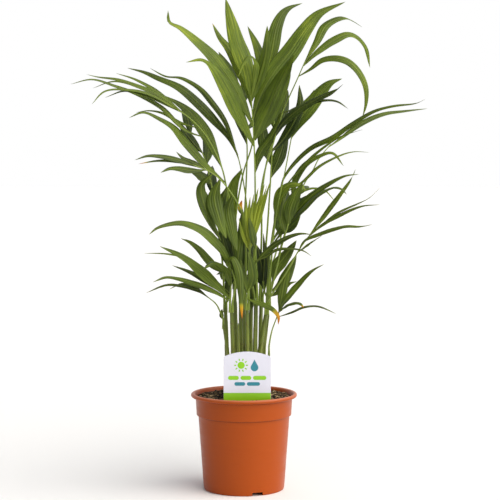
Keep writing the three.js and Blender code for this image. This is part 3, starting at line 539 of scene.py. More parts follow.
def label_surface(tree):
    """Extruded polystyrene sheet: smooth, faintly cloudy white with a low gloss and handling scuffs."""
    place = add(tree, "TexCoord", {}).outputs["Object"]
    cloud = add(tree, "TexNoise", {"Vector": place, "Scale": 40.0, "Detail": 3.0})
    tone = add(tree, "Mix", {0: cloud.outputs["Fac"], 6: linear("#d9dae8"), 7: linear("#e0e1ee")},
               data_type="RGBA")
    scuff = add(tree, "TexNoise", {"Vector": place, "Scale": 420.0, "Detail": 4.0})
    rough = add(tree, "MapRange", {0: scuff.outputs["Fac"], 1: 0.35, 2: 0.65, 3: 0.32, 4: 0.44})
    height = add(tree, "SeparateXYZ", {0: place}).outputs["Z"]
    low = add(tree, "MapRange", {0: height, 1: (COMPOST_TOP + 7) * MM, 2: COMPOST_TOP * MM, 3: 0.0, 4: 0.6})
    soiled = add(tree, "Math", {0: low.outputs[0], 1: scuff.outputs["Fac"]}, operation="MULTIPLY")
    colour = add(tree, "Mix", {0: soiled.outputs[0], 6: tone.outputs[2], 7: linear("#5a3d28")},
                 data_type="RGBA")
    bump = add(tree, "Bump", {"Height": scuff.outputs["Fac"], "Strength": 0.05, "Distance": 0.0002})
    return add(tree, "BsdfPrincipled", {"Base Color": colour.outputs[2], "Roughness": rough.outputs[0],
                                        "Normal": bump.outputs[0]}).outputs["BSDF"]


def printed_ink(code):
    """Screen-print ink of one colour: a flat film with the faint unevenness of the squeegee."""
    def surface(tree):
        place = add(tree, "TexCoord", {}).outputs["Object"]
        strokes = add(tree, "Mapping", {"Vector": place, "Scale": (90, 90, 1400)})
        pull = add(tree, "TexNoise", {"Vector": strokes.outputs[0], "Scale": 1.0, "Detail": 3.0})
        thin = [0.86 * c for c in linear(code)[:3]] + [1.0]
        tone = add(tree, "Mix", {0: pull.outputs["Fac"], 6: thin, 7: linear(code)}, data_type="RGBA")
        return add(tree, "BsdfPrincipled", {"Base Color": tone.outputs[2], "Roughness": 0.42}).outputs["BSDF"]
    return surface


def bar(left, right, low, high):
    """A print bar with round ends."""
    radius = (high - low) / 2
    right_end = arc((right - radius, low + radius), radius, -90, 90, 9)
    return right_end + arc((left + radius, low + radius), radius, 90, 270, 9)


sun_parts = [arc(SUN[:2], SUN[2], 0, 350, 36)]
for ray_number in range(SUN_RAYS):
    lean = math.radians(360 / SUN_RAYS * ray_number)
    ray_outline = [(7.4, -1.1), (10.8, -0.8), (10.8, 0.8), (7.4, 1.1)]
    sun_parts.append([(SUN[0] + r * math.cos(lean) - s * math.sin(lean),
                       SUN[1] + r * math.sin(lean) + s * math.cos(lean)) for r, s in ray_outline])
drop_part = arc(DROP[:2], DROP[2], -205, 25, 28) + [(DROP[0] + 2.8, DROP[1] + 7.2), (DROP[0], DROP[1] + 12.6),
                                                   (DROP[0] - 2.8, DROP[1] + 7.2)]
green_bars = [bar(left, right, *GREEN_ROW) for left, right in ((-30, -13), (-10.5, 6.5), (9, 30))]
teal_bars = [bar(left, right, *TEAL_ROW) for left, right in ((-20, -3), (-0.5, 20))]
band_half = LABEL_HALF - BAND["margin"]
foot_band = [(band_half, BAND["low"]), (band_half, BAND["high"]), (-band_half, BAND["high"]),
             (-band_half, BAND["low"])]
label = make_piece("label_plate", *plate(label_outline, LABEL_FRONT, LABEL_BACK, 0.16),
                   [finish_material("polystyrene_sheet", label_surface)], sharp=40)
inks = {PRINT_SUN: sun_parts, PRINT_TEAL: [drop_part] + teal_bars, PRINT_GREEN: green_bars + [foot_band]}
films, which_ink = [], []
for number, shapes in enumerate(inks.values()):
    for shape in shapes:
        film = plate(shape, LABEL_FRONT - INK, LABEL_FRONT - 0.01)
        films.append(film)
        which_ink += [number] * len(film[1])
ink_materials = [finish_material("screen_ink_" + name, printed_ink(code))
                 for name, code in zip(("sun", "teal", "green"), inks)]
print_film = make_piece("label_print", *joined(films), ink_materials, which=which_ink, sharp=30)
for made in (label, print_film):
    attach(made, "root")
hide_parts("plant_label")


# The canes: young stems of separate seedlings, wrapped in the tubular bases of their outer leaf stalks, and
# the spears between them, which are young leaves still rolled up. All are smooth and yellow-green with a faint
# bloom, ribbed lengthways, and fray to brown fibre where they enter the compost.
PLANTED = 44.0
STEM_SIDES = 16
STEM_STEP = 1.6
SHEATH_LIPS = (0.42, 0.64, 0.84)  # where each sheath ends, as shares of the cane's length
# Name, foot [x, y] at the compost, top [x, y, z], radius at the foot and at the top
STEMS = [
  ['stem_left_outer', [-18, -12], [-33, -14, 268], 3.0, 2.4],
  ['stem_left_front', [-16, -30], [-20, -34, 296], 3.7, 3.1],
  ['stem_left_inner', [-12, 3], [-15, 1, 330], 3.8, 3.1],
  ['stem_centre_left', [-4, -16], [-6, -18, 318], 3.6, 3.0],
  ['stem_centre_front', [6, -34], [5, -36, 300], 3.8, 3.4],
  ['stem_crown', [17, -12], [19, -14, 305], 4.2, 3.6],
  ['stem_centre_rear', [10, 14], [12, 15, 330], 3.9, 3.3],
  ['stem_right_front', [17, -23], [36, -28, 292], 3.9, 3.5],
  ['stem_right_rear', [25, 4], [39, 4, 300], 3.9, 3.6],
  ['stem_right_thin', [37, -38], [39.5, -40, 228], 2.4, 2.0],
  ['stem_rear', [-2, 36], [-2, 38, 318], 4.0, 3.4],
  ['stem_rear_left', [-26, 24], [-30, 28, 290], 3.8, 3.4],
  ['stem_rear_right', [26, 34], [28, 36, 300], 4.0, 3.6],
  ['spear_left', [-12, -7], [-17, -9, 284], 2.6, 1.0],
  ['spear_front', [-6, -41], [-9, -43, 272], 2.6, 1.0],
  ['stem_middle', [1, -26], [0, -27, 308], 2.8, 2.2],
  ['spear_right_front', [16, -34], [18, -36, 298], 2.7, 1.0],
  ['spear_right', [27, -9], [40, -13, 282], 2.8, 1.1],
  ['spear_rear_left', [-10, 23], [-12, 25, 300], 2.8, 1.1],
  ['spear_rear_middle', [6, 29], [7, 30, 312], 2.8, 1.1],
  ['spear_rear_right', [19, 22], [22, 24, 300], 2.8, 1.1],
  ['spear_right_thin', [32, -42], [35, -43, 280], 2.0, 0.8],
]


def smooth_line(points, count, dense=24):
    """Evenly spaced points along a centripetal Catmull-Rom curve, with its directions and its length."""
    given = [np.array(p, float) for p in points]
    given = [2 * given[0] - given[1]] + given + [2 * given[-1] - given[-2]]
    drawn = []
    for p0, p1, p2, p3 in zip(given, given[1:], given[2:], given[3:]):
        d0, d1, d2 = (max(math.sqrt(np.linalg.norm(b - a)), 1e-3) for a, b in ((p0, p1), (p1, p2), (p2, p3)))
        m1 = ((p1 - p0) / d0 - (p2 - p0) / (d0 + d1) + (p2 - p1) / d1) * d1
        m2 = ((p2 - p1) / d1 - (p3 - p1) / (d1 + d2) + (p3 - p2) / d2) * d1
        for t in np.linspace(0, 1, dense, endpoint=False):
            drawn.append(p1 + m1 * t + (3 * (p2 - p1) - 2 * m1 - m2) * t ** 2
                         + (2 * (p1 - p2) + m1 + m2) * t ** 3)
    drawn = np.array(drawn + [given[-2]])
    run = np.concatenate([[0], np.cumsum(np.linalg.norm(np.diff(drawn, axis=0), axis=1))])
    at = np.linspace(0, run[-1], count)
    line = np.stack([np.interp(at, run, drawn[:, axis]) for axis in range(3)], 1)
    ways = np.gradient(line, axis=0)
    return line, ways / np.linalg.norm(ways, axis=1, keepdims=True), run[-1]


def cane_surface(tree):
    """Leaf-sheath skin: waxy and satin, streaked lengthways in yellow-green, painted darker higher up as shade,
    with brown fibre at the foot.
    """
    cane = add(tree, "SeparateXYZ", {0: add(tree, "Attribute", {}, attribute_name="cane").outputs["Vector"]})
    place = add(tree, "TexCoord", {}).outputs["Object"]
    around = add(tree, "CombineXYZ", {0: cane.outputs["X"], 2: cane.outputs["Z"]})
    streak_place = add(tree, "VectorMath", {0: around.outputs[0], 1: place}, operation="ADD")
    streaks = add(tree, "TexNoise", {"Vector": streak_place.outputs[0], "Scale": 3.2, "Detail": 3.0,
                                     "Roughness": 0.6})
    bloom = add(tree, "TexNoise", {"Vector": place, "Scale": 55.0, "Detail": 4.0})
    specks = add(tree, "TexVoronoi", {"Vector": place, "Scale": 420.0})
    tone = add(tree, "ValToRGB", {"Fac": streaks.outputs["Fac"]})
    tone.color_ramp.elements[0].position = 0.34
    tone.color_ramp.elements[0].color = linear("#33420f")
    tone.color_ramp.elements[1].position = 0.66
    tone.color_ramp.elements[1].color = linear("#98a53c")
    wax = add(tree, "MapRange", {0: bloom.outputs["Fac"], 1: 0.35, 2: 0.75, 3: 0.0, 4: 0.6})
    waxy = add(tree, "Mix", {0: wax.outputs[0], 6: tone.outputs["Color"], 7: linear("#7d8a34")},
               data_type="RGBA")
    height = add(tree, "SeparateXYZ", {0: place}).outputs["Z"]
    # Painted shade: the cane is mixed towards a dark green higher up, where the leaves above shade it.
    upper = add(tree, "MapRange", {0: height, 1: 0.225, 2: 0.3, 3: 0.0, 4: 0.7})
    shaded_higher_up = add(tree, "Mix", {0: upper.outputs[0], 6: waxy.outputs[2], 7: linear("#3c5018")},
                  data_type="RGBA")
    ragged = add(tree, "Math", {0: streaks.outputs["Fac"], 1: 0.05}, operation="MULTIPLY")
    fibre_line = add(tree, "Math", {0: height, 1: ragged.outputs[0]}, operation="SUBTRACT")
    frayed = add(tree, "MapRange", {0: fibre_line.outputs[0], 1: (COMPOST_TOP + 10) * MM,
                                    2: (COMPOST_TOP - 15) * MM, 3: 0.0, 4: 0.9})
    brown = add(tree, "Mix", {0: frayed.outputs[0], 6: shaded_higher_up.outputs[2], 7: linear("#6b4a28")},
                data_type="RGBA")
    dots = add(tree, "MapRange", {0: specks.outputs["Distance"], 1: 0.16, 2: 0.08, 3: 0.0, 4: 0.35})
    lip = add(tree, "Math", {0: cane.outputs["Y"], 1: 0.75}, operation="MULTIPLY")
    speckled = add(tree, "Mix", {0: dots.outputs[0], 6: brown.outputs[2], 7: linear("#54481e")},
                   data_type="RGBA")
    colour = add(tree, "Mix", {0: lip.outputs[0], 6: speckled.outputs[2], 7: linear("#5c4a26")},
                 data_type="RGBA")
    bump = add(tree, "Bump", {"Height": streaks.outputs["Fac"], "Strength": 0.35, "Distance": 0.0006})
    return add(tree, "BsdfPrincipled", {"Base Color": colour.outputs[2], "Roughness": 0.42, "IOR": 1.45,
                                        "Subsurface Weight": 0.08, "Subsurface Scale": 0.002,
                                        "Normal": bump.outputs[0]}).outputs["BSDF"]


def make_stem(stem):
    """A cane or spear: it swells at the foot, steps in under each slanting sheath lip and closes at its top."""
    name, foot, top, foot_radius, top_radius = stem
    rise = (top[2] - COMPOST_TOP) / 2
    middle = [foot[axis] + (top[axis] - foot[axis]) * 0.4 for axis in (0, 1)]
    length = top[2] - COMPOST_TOP + PLANTED
    rings = int(length / STEM_STEP)
    route = [(*foot, COMPOST_TOP - PLANTED), (*foot, COMPOST_TOP), (*middle, COMPOST_TOP + rise), top]
    line, ways, _ = smooth_line(route, rings)
    stem_rng = random.Random(name)
    lips = [(share + stem_rng.uniform(-0.06, 0.06), stem_rng.uniform(0, 2 * math.pi))
            for share in SHEATH_LIPS]
    ribs, start = stem_rng.randint(7, 10), stem_rng.uniform(0, 6)
    points, cane, numbers = [], [], []
    for ring, (centre, way) in enumerate(zip(line, ways)):
        share = ring / (rings - 1)
        side_way = np.cross(way, (0.0, -1.0, 0.0))
        side_way /= np.linalg.norm(side_way)
        out_way = np.cross(side_way, way)
        radius = foot_radius + (top_radius - foot_radius) * share
        radius *= 1 + 0.12 * math.exp(-((centre[2] - COMPOST_TOP - 4) / 10) ** 2)
        dome = max(0.0, (share * length - length + 5.0) / 5.0)
        numbers.append(list(range(len(points), len(points) + STEM_SIDES)))
        for side in range(STEM_SIDES):
            turn = 2 * math.pi * side / STEM_SIDES
            grow, dark = 0.0, 0.0
            for at, face in lips:
                past = (share - at) * length - 5 * math.cos(turn - face)
                grow += 0.085 / (1 + math.exp(max(-30, min(30, past / 0.5))))
                dark = max(dark, math.exp(-((past - 0.6) / 0.9) ** 2))
            wide = radius * (0.86 + grow) * (1 + 0.02 * math.sin(ribs * turn))
            wide *= math.sqrt(max(0.02, 1 - 0.8 * dome ** 2))
            points.append(centre + (side_way * math.cos(turn) + out_way * math.sin(turn)) * wide)
            cane.append((start + 2.2 * math.cos(turn), dark,
                         start + 2.2 * math.sin(turn) + 0.006 * centre[2]))
    points += [line[0], line[-1] + (0, 0, 0.5)]
    cane += [cane[0], cane[-1]]
    numbers = [[len(points) - 2] * STEM_SIDES] + numbers + [[len(points) - 1] * STEM_SIDES]
    made = make_piece("palm_" + name, points, skin(numbers), [cane_material], cane=cane)
    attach(made, "root")
    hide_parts(name)


cane_material = finish_material("waxy_leaf_sheath", cane_surface)
for stem in STEMS:
    make_stem(stem)


# The fronds: each is a channelled stalk with folded leaflets along it, grown as one. Fresh blades are thin
# and leathery with a satin skin, a pale midrib, fine veins along them and light coming through; old tips dry to
# orange and brown.
# fold, pleat and waves shape a blade across; widen, taper and blunt shape it along its length
BLADE = {"thick": 0.34, "fold": 0.12, "pleat": 0.035, "waves": 26, "roll": 32.0, "twist": 22.0, "steps": 44,
         "widen": (-0.12, 0.46), "taper": 2.4, "blunt": 0.85}
RIB = {"thick": 0.4, "reach": 0.55}
SHEATHED = 9.0  # how far a stalk's base goes down into its cane
VIEW = {"distance": 2512.0, "height": 560.0}
STALK_SIDES = 12
STEM_GAP = 0.6
# How light each frond's green is: lightest for the young ones, and painted darker as shade for those deep in
# the clump
FROND_TONES_AND_SHADE = {"frond_crown": 0.66, "frond_crown_rear": 0.58, "frond_arching": 0.6, "frond_shaded": 0.16,
         "frond_single_blade": 0.6, "frond_left_upper": 0.4, "frond_far_left": 0.54, "frond_left_mid": 0.42,
         "frond_left_low": 0.45, "frond_folded": 0.4, "frond_lowest": 0.4, "frond_opening": 0.86,
         "frond_centre_right": 0.3, "frond_right_high": 0.55, "frond_right_far": 0.5,
         "frond_right_inner": 0.52, "frond_right_front": 0.55, "frond_right_straight": 0.56,
         "frond_right_shaded": 0.34, "frond_right_low": 0.46, "frond_front_low": 0.42,
         "frond_centre_dark": 0.0, "frond_centre_shaded": 0.16, "frond_centre_low": 0.1}
# The fronds at the back are painted darker, as shade.
REAR_SHADED_TONE = 0.28
# Leaflets painted darker or lighter than the rest of their frond: painted shade on the deeper ones, painted
# light on the more open ones
LEAFLET_LIGHT_AND_SHADE = {("frond_crown", 8): -0.4, ("frond_crown", 7): -0.08, ("frond_crown", 0): 0.08,
             ("frond_crown", 3): 0.1, ("frond_left_upper", 0): 0.08, ("frond_right_inner", 0): 0.22,
             ("frond_crown_rear", 2): 0.08}
# Where a leaflet has started to dry from its tip, as the share of its length that is still green
DRYING = {("frond_front_low", 0): 0.62, ("frond_right_low", 1): 0.86, ("frond_left_mid", 1): 0.82,
          ("frond_left_mid", 9): 0.35, ("frond_folded", 0): 0.8, ("frond_crown", 2): 0.97}
# Name, stem, offset [x, y] on the stem's top, stalk points [x, y, z], radius at both ends, leaflets. A leaflet
# is its widest width, how far its tip lies behind its base, then drawn points [x, z], the first where it leaves
# the stalk. A drawn point is where it looks to be from VIEW's distance in front and VIEW's height.
FRONDS = [
  ['frond_crown', 'stem_crown', [2.1, -0.6],
    [[18, -20, 400], [18, -26, 472], [17, -32, 533], [14, -37, 592], [11, -40, 630]], [1.9, 0.8], [
      [28, -46, [16, 549], [-6, 595], [-28, 640], [-50, 674], [-66, 686], [-92, 682]],
      [28, -20, [14, 580], [-7, 629], [-30, 667], [-52, 695], [-76, 717], [-101, 737], [-118, 746],
        [-120, 764]],
      [21, 50, [13, 610], [5, 643], [-11, 681], [-25, 706], [-38, 722], [-50, 744]],
      [33, 8, [11, 628], [4, 672], [-12, 717], [-21, 751], [-29, 783]],
      [11, -44, [12, 624], [17, 655], [19, 680], [10, 692], [-1, 680], [-9, 658]],
      [22, -6, [13, 620], [24, 658], [35, 699], [37, 740]],
      [38, 80, [14, 592], [24, 625], [47, 667], [74, 701], [97, 735], [119, 760], [161, 778]],
      [47, -50, [16, 560], [27, 586], [45, 622], [61, 658], [80, 695]],
      [19, 10, [17, 508], [25, 537], [47, 571], [60, 605]]]],
  ['frond_crown_rear', 'stem_left_inner', [2, -1],
    [[-14, 4, 425], [-1, 4, 507], [12, 6, 548], [22, 12, 605], [31, 18, 650]], [1.8, 0.8], [
      [26, 70, [30, 645], [43, 697], [51, 737], [60, 758], [72, 769], [93, 776]],
      [21, 90, [26, 625], [30, 670], [22, 705], [6, 740]],
      [24, 12, [-14, 425], [-21, 460], [-15, 492], [-2, 515]],
      [17, 60, [22, 605], [40, 640], [52, 672]]]],
  ['frond_arching', 'stem_rear_right', [-2.2, -1.6],
    [[28, 30, 400], [30, 24, 485], [40, 18, 540], [60, 12, 600], [87, 4, 661], [97, 2, 684]], [1.9, 0.8], [
      [17, 90, [96, 680], [116, 716], [130, 741], [156, 753], [170, 749], [188, 738]],
      [18, 50, [95, 677], [119, 701], [142, 717], [164, 727], [180, 722], [193, 706], [200, 674]],
      [15, -30, [87, 661], [106, 672], [124, 686], [144, 689], [164, 684], [180, 670], [193, 645], [194, 618],
        [188, 594]]]],
  ['frond_shaded', 'stem_centre_rear', [1.6, -1.6],
    [[18, 6, 400], [24, -8, 450], [28, -22, 485], [35, -34, 518], [42, -42, 538], [50, -48, 565],
      [63, -52, 608]], [1.8, 0.8], [
      [24, -56, [51, 567], [60, 584], [83, 605], [114, 623], [150, 641]],
      [9, -84, [62, 604], [88, 608], [108, 618], [128, 622], [148, 620], [166, 608]],
      [21, 28, [42, 540], [58, 555], [79, 587], [89, 614], [88, 647]],
      [7, -12, [62, 600], [100, 618], [135, 630], [158, 648]]]],
  ['frond_single_blade', 'stem_right_front', [1.8, 2],
    [[43, -22, 360], [51, -24, 438], [59, -22, 480], [64, -18, 502], [76, -10, 566]], [1.5, 0.8], [
      [33, 30, [76, 565], [92, 597], [114, 626], [136, 650], [156, 657]],
      [14, 60, [75, 560], [84, 590], [98, 615], [112, 640]]]],
  ['frond_left_upper', 'stem_centre_rear', [-1.6, 1.4],
    [[8, 12, 400], [5, 4, 450], [1, 0, 482], [-5, -2, 515], [-10, -2, 536]], [1.7, 0.8], [
      [21, 90, [-10, 536], [-23, 562], [-57, 602], [-99, 641], [-138, 659], [-160, 668], [-185, 674]],
      [12, 130, [-8, 528], [-29, 587], [-52, 621], [-72, 643], [-99, 658], [-124, 661], [-149, 674]]]],
  ['frond_far_left', 'stem_centre_left', [0, 0],
    [[-10, -18, 370], [-16, -20, 432], [-27, -24, 481], [-36, -32, 518], [-60, -44, 566], [-86, -56, 594],
      [-106, -66, 607]], [1.9, 0.7], [
      [24, 30, [-36, 518], [-46, 540], [-61, 571], [-82, 600], [-103, 617], [-129, 631]],
      [18, -70, [-32, 490], [-63, 522], [-91, 554], [-113, 580], [-136, 594], [-160, 603], [-183, 594]],
      [11, -60, [-60, 560], [-93, 575], [-131, 611], [-169, 632], [-205, 645], [-241, 655], [-276, 647]],
      [11, -20, [-90, 596], [-138, 632], [-169, 645], [-200, 655], [-232, 659], [-250, 663]],
      [9, 20, [-96, 600], [-111, 614], [-142, 639], [-174, 656], [-203, 665]],
      [8, -70, [-100, 603], [-150, 632], [-188, 639], [-221, 636], [-242, 615]],
      [8, -44, [-98, 602], [-150, 628], [-188, 637], [-221, 626]],
      [7, 0, [-104, 606], [-150, 636], [-205, 652], [-240, 641]],
      [7, 24, [-70, 576], [-101, 587], [-129, 602], [-151, 606], [-172, 603]]]],
  ['frond_left_mid', 'stem_centre_front', [-2.4, 1.6],
    [[3, -32, 360], [1, -34, 420], [-4, -40, 446], [-26, -50, 483], [-48, -60, 505], [-81, -74, 520]],
    [1.9, 0.8], [
      [12, -50, [-70, 515], [-115, 530], [-151, 534], [-174, 527]],
      [7, -30, [-80, 520], [-115, 526], [-140, 526], [-168, 521]],
      [14, -60, [-60, 510], [-83, 511], [-115, 514], [-133, 507]],
      [11, 6, [-60, 510], [-78, 522], [-97, 531], [-108, 541]],
      [8, 14, [-66, 513], [-78, 522], [-87, 530]],
      [20, 8, [-50, 506], [-68, 486], [-62, 452], [-49, 422], [-36, 398]],
      [28, -12, [-38, 496], [-47, 470], [-40, 435], [-28, 402]],
      [24, 14, [-28, 484], [-36, 458], [-30, 430], [-18, 394]],
      [26, -2, [-18, 472], [-25, 448], [-20, 418], [-11, 382]],
      [9, -8, [-3, 438], [-6, 452], [-3, 464]]]],
  ['frond_left_low', 'stem_left_front', [-2, -0.8],
    [[-21, -40, 330], [-22, -44, 362]], [1.9, 0.9], [
      [19, -90, [-21, 340], [-27, 370], [-41, 392], [-66, 415], [-93, 426], [-115, 426], [-138, 419],
        [-152, 408]],
      [16, 30, [-21, 345], [-36, 351], [-52, 363], [-70, 384], [-86, 397], [-101, 403]],
      [25, -60, [-20, 306], [-48, 332], [-75, 356], [-99, 374], [-135, 390]],
      [7, -10, [-20, 314], [-60, 348], [-95, 372], [-124, 378], [-160, 379]],
      [12, 40, [-20, 310], [-59, 334], [-88, 350], [-115, 360]],
      [15, -90, [-20, 302], [-48, 318], [-75, 329], [-102, 337], [-124, 340], [-146, 332]],
      [19, -60, [-20, 325], [-30, 352], [-48, 363], [-65, 353]]]],
  ['frond_folded', 'stem_left_front', [2, -0.8],
    [[-14, -50, 330], [-19, -56, 352]], [1.7, 0.9], [
      [14, -30, [-19, 350], [-27, 362], [-19, 371], [-9, 352], [-5, 312], [-3, 272]],
      [17, 14, [-14, 328], [-10, 368], [-6, 404], [-4, 436]]]],
  ['frond_lowest', 'stem_left_outer', [0, 0],
    [[-38, -20, 285], [-45, -28, 298], [-58, -36, 309]], [1.6, 0.8], [
      [8, -24, [-52, 304], [-70, 317], [-97, 326], [-124, 328], [-157, 315]],
      [7, -8, [-56, 307], [-80, 325], [-100, 330], [-120, 321]],
      [8, 4, [-36, 272], [-36, 280], [-35, 290]]]],
  ['frond_opening', 'stem_centre_front', [2.4, -1.2],
    [[8, -44, 350], [10, -50, 400]], [1.8, 1.2], [
      [9, 2, [10, 384], [26, 440], [42, 494]],
      [6, -8, [10, 387], [23, 442], [37, 488]],
      [8, 8, [10, 390], [20, 440], [33, 490]],
      [6, -15, [10, 392], [17, 440], [29, 481]],
      [8, 2, [10, 394], [14, 438], [23, 484]],
      [7, -8, [10, 394], [11, 436], [16, 474]],
      [8, 9, [10, 392], [7, 430], [10, 470]],
      [6, -12, [10, 389], [4, 426], [4, 462]],
      [8, 0, [10, 386], [1, 418], [-2, 450]],
      [6, -6, [10, 382], [-2, 408], [-8, 436]]]],
  ['frond_centre_right', 'stem_crown', [-2.1, -0.6],
    [[13, -34, 335], [16, -50, 365], [20, -58, 392]], [1.6, 0.8], [
      [13, -10, [16, 360], [38, 384], [63, 401], [88, 410], [108, 409]],
      [7, -24, [16, 366], [35, 373], [51, 384], [74, 386], [94, 383], [108, 374]],
      [14, 10, [19, 384], [14, 408], [8, 436]]]],
  ['frond_right_high', 'stem_right_rear', [-2.4, -1.8],
    [[43, 0, 392], [53, -6, 456], [58, -8, 484]], [1.7, 0.9], [
      [14, -130, [57, 480], [64, 500], [84, 527], [107, 547], [140, 563], [174, 586], [207, 605], [238, 613],
        [273, 617], [289, 624]],
      [6, 14, [56, 470], [92, 492], [119, 517], [153, 535], [175, 541], [200, 540]],
      [6, -50, [57, 476], [110, 534], [150, 563], [175, 572], [190, 576]]]],
  ['frond_right_far', 'stem_right_rear', [1.6, 2.4],
    [[52, 14, 360], [62, 20, 400], [71, 26, 427], [84, 34, 460], [96, 42, 490], [110, 50, 512],
      [119, 56, 530], [138, 66, 553]], [1.7, 0.8], [
      [12, 60, [134, 548], [153, 562], [186, 586], [220, 601], [254, 606], [292, 610]],
      [14, -20, [80, 450], [80, 490], [96, 519], [119, 534], [141, 539], [159, 518]]]],
  ['frond_right_inner', 'stem_right_rear', [2.6, -1.8],
    [[46, -6, 396], [51, -12, 438]], [1.7, 0.9], [
      [21, -14, [51, 434], [54, 460], [62, 480], [76, 489], [88, 488], [100, 479]],
      [17, -60, [46, 398], [51, 408], [67, 428], [88, 451], [106, 470], [132, 488], [160, 502], [184, 505]],
      [15, -96, [46, 394], [62, 414], [80, 434], [96, 451], [119, 472], [141, 483], [155, 481], [164, 472]],
      [6, 4, [50, 430], [80, 470], [101, 481], [114, 483], [128, 480], [141, 467], [148, 456]]]],
  ['frond_right_front', 'stem_right_front', [2, -2],
    [[51, -36, 350], [60, -42, 388], [71, -48, 426]], [1.6, 0.9], [
      [26, 8, [71, 424], [74, 451], [83, 473], [94, 491]],
      [14, 24, [66, 408], [60, 440], [64, 470]]]],
  ['frond_right_straight', 'stem_right_front', [-2, -2],
    [[44, -44, 312], [66, -54, 345], [88, -62, 384], [105, -66, 408]], [1.6, 0.8], [
      [11, -50, [104, 406], [140, 455], [170, 496], [178, 513]],
      [9, -80, [103, 404], [125, 424], [148, 437], [186, 453], [217, 456]],
      [5, -64, [104, 407], [148, 442], [182, 458], [200, 467], [217, 483]],
      [11, -96, [88, 383], [96, 398], [125, 411], [160, 421], [186, 421], [205, 424]],
      [6, -44, [86, 379], [106, 395], [125, 407]]]],
  ['frond_right_shaded', 'stem_right_front', [-2, 2.2],
    [[42, -18, 312], [47, -14, 336]], [1.6, 0.9], [
      [26, 16, [46, 334], [52, 356], [69, 379], [84, 400]],
      [22, 34, [44, 318], [60, 330], [72, 352], [84, 377]],
      [11, 0, [42, 308], [61, 321], [74, 331], [85, 334]]]],
  ['frond_right_low', 'stem_right_thin', [0, 0],
    [[45, -44, 255], [53, -48, 277], [57, -50, 288]], [1.4, 0.8], [
      [15, -50, [55, 282], [62, 298], [83, 325], [108, 350], [128, 361]],
      [12, -66, [55, 284], [63, 291], [74, 297], [88, 298], [96, 291]],
      [7, -90, [53, 276], [74, 283], [96, 292], [119, 293], [148, 281]],
      [17, -6, [56, 286], [60, 310], [66, 340], [76, 368]]]],
  ['frond_front_low', 'stem_centre_front', [-1.2, -3.2],
    [[8, -52, 322]], [1.5, 0.9], [
      [12, -16, [6, 306], [18, 301], [35, 295], [47, 288], [55, 277], [55, 264]],
      [19, -26, [8, 318], [14, 338], [12, 360], [6, 382]],
      [15, -34, [8, 314], [-2, 342], [-5, 368]]]],
  ['frond_centre_dark', 'stem_right_rear', [-2, 2.6],
    [[33, 10, 318], [30, 8, 334]], [1.6, 0.9], [
      [24, -4, [32, 320], [30, 346], [26, 370], [21, 392]],
      [20, 10, [31, 325], [20, 345], [13, 370], [8, 394]],
      [13, 6, [31, 328], [37, 350], [37, 376], [33, 398]],
      [8, -2, [30, 332], [33, 372], [31, 412]]]],
  ['frond_centre_shaded', 'stem_left_inner', [-1.8, 1.4],
    [[-15, 4, 350], [-16, 8, 376]], [1.6, 0.9], [
      [24, 6, [-15, 348], [-25, 372], [-33, 400], [-34, 430]],
      [22, 16, [-15, 354], [-7, 382], [-3, 412], [-4, 444]],
      [24, 2, [-16, 368], [-20, 400], [-20, 432], [-13, 462]]]],
  ['frond_centre_low', 'stem_middle', [0, 0],
    [[-1, -25, 326], [-3, -22, 346]], [1.5, 0.9], [
      [20, 6, [-3, 338], [0, 356], [3, 378], [1, 404]],
      [15, 4, [-2, 332], [-12, 345], [-23, 336], [-26, 300]],
      [19, 14, [-3, 340], [5, 342], [12, 326], [13, 288]]]],
  ['frond_rear_upper', 'stem_rear_right', [-0.2, 2.6],
    [[36, 56, 400], [42, 86, 490], [46, 112, 560], [50, 140, 612], [54, 165, 640]], [1.9, 0.8], [
      [25, 30, [43, 500], [58, 540], [70, 580]],
      [25, 50, [44, 520], [32, 560], [28, 600]],
      [25, 60, [46, 560], [60, 600], [70, 640]],
      [25, 70, [48, 580], [38, 620], [34, 650]],
      [22, 60, [50, 610], [62, 645], [74, 668]],
      [22, 40, [54, 640], [52, 665], [48, 682]]]],
  ['frond_rear_left_upper', 'stem_rear', [-1.6, 1.4],
    [[0, 50, 420], [4, 62, 500], [5, 76, 553], [0, 96, 600], [-8, 120, 640]], [1.8, 0.8], [
      [21, 70, [5, 553], [-8, 600], [-26, 650]],
      [21, 90, [4, 575], [30, 604], [46, 650]],
      [21, 20, [0, 600], [-16, 640], [-38, 682]],
      [21, 110, [-2, 612], [4, 650], [4, 690]],
      [19, 60, [-8, 640], [-22, 670], [-40, 700]]]],
  ['frond_rear_left', 'stem_rear_left', [-1.6, 1.6],
    [[-34, 44, 360], [-42, 72, 430], [-52, 100, 490], [-66, 125, 540], [-84, 145, 570]], [1.8, 0.8], [
      [21, 64, [-40, 420], [-30, 448], [-22, 480]],
      [21, -20, [-42, 430], [-56, 455], [-66, 485]],
      [21, 90, [-48, 470], [-52, 500], [-50, 520]],
      [21, 0, [-52, 490], [-70, 505], [-90, 515]],
      [20, 92, [-60, 520], [-57, 546], [-64, 572]],
      [21, 0, [-66, 540], [-84, 560], [-104, 590]],
      [19, 70, [-84, 570], [-90, 596], [-98, 612]]]],
  ['frond_rear_right', 'stem_rear_right', [2.6, -0.8],
    [[48, 60, 370], [64, 92, 420], [80, 120, 455], [92, 140, 478]], [1.7, 0.8], [
      [21, 84, [60, 404], [56, 432], [52, 460]],
      [21, -20, [62, 410], [76, 424], [92, 450]],
      [21, 80, [72, 440], [66, 462], [70, 482]],
      [21, 10, [80, 455], [96, 464], [110, 476]],
      [19, 80, [90, 474], [96, 486], [102, 488]]]],
  ['frond_rear_low', 'stem_rear', [1.8, -0.8],
    [[2, 64, 350], [0, 98, 380], [2, 130, 390]], [1.6, 0.8], [
      [21, 50, [1, 355], [-12, 385], [-18, 398]],
      [21, 60, [1, 365], [12, 392], [16, 402]],
      [20, 80, [0, 380], [-16, 390], [-28, 366]],
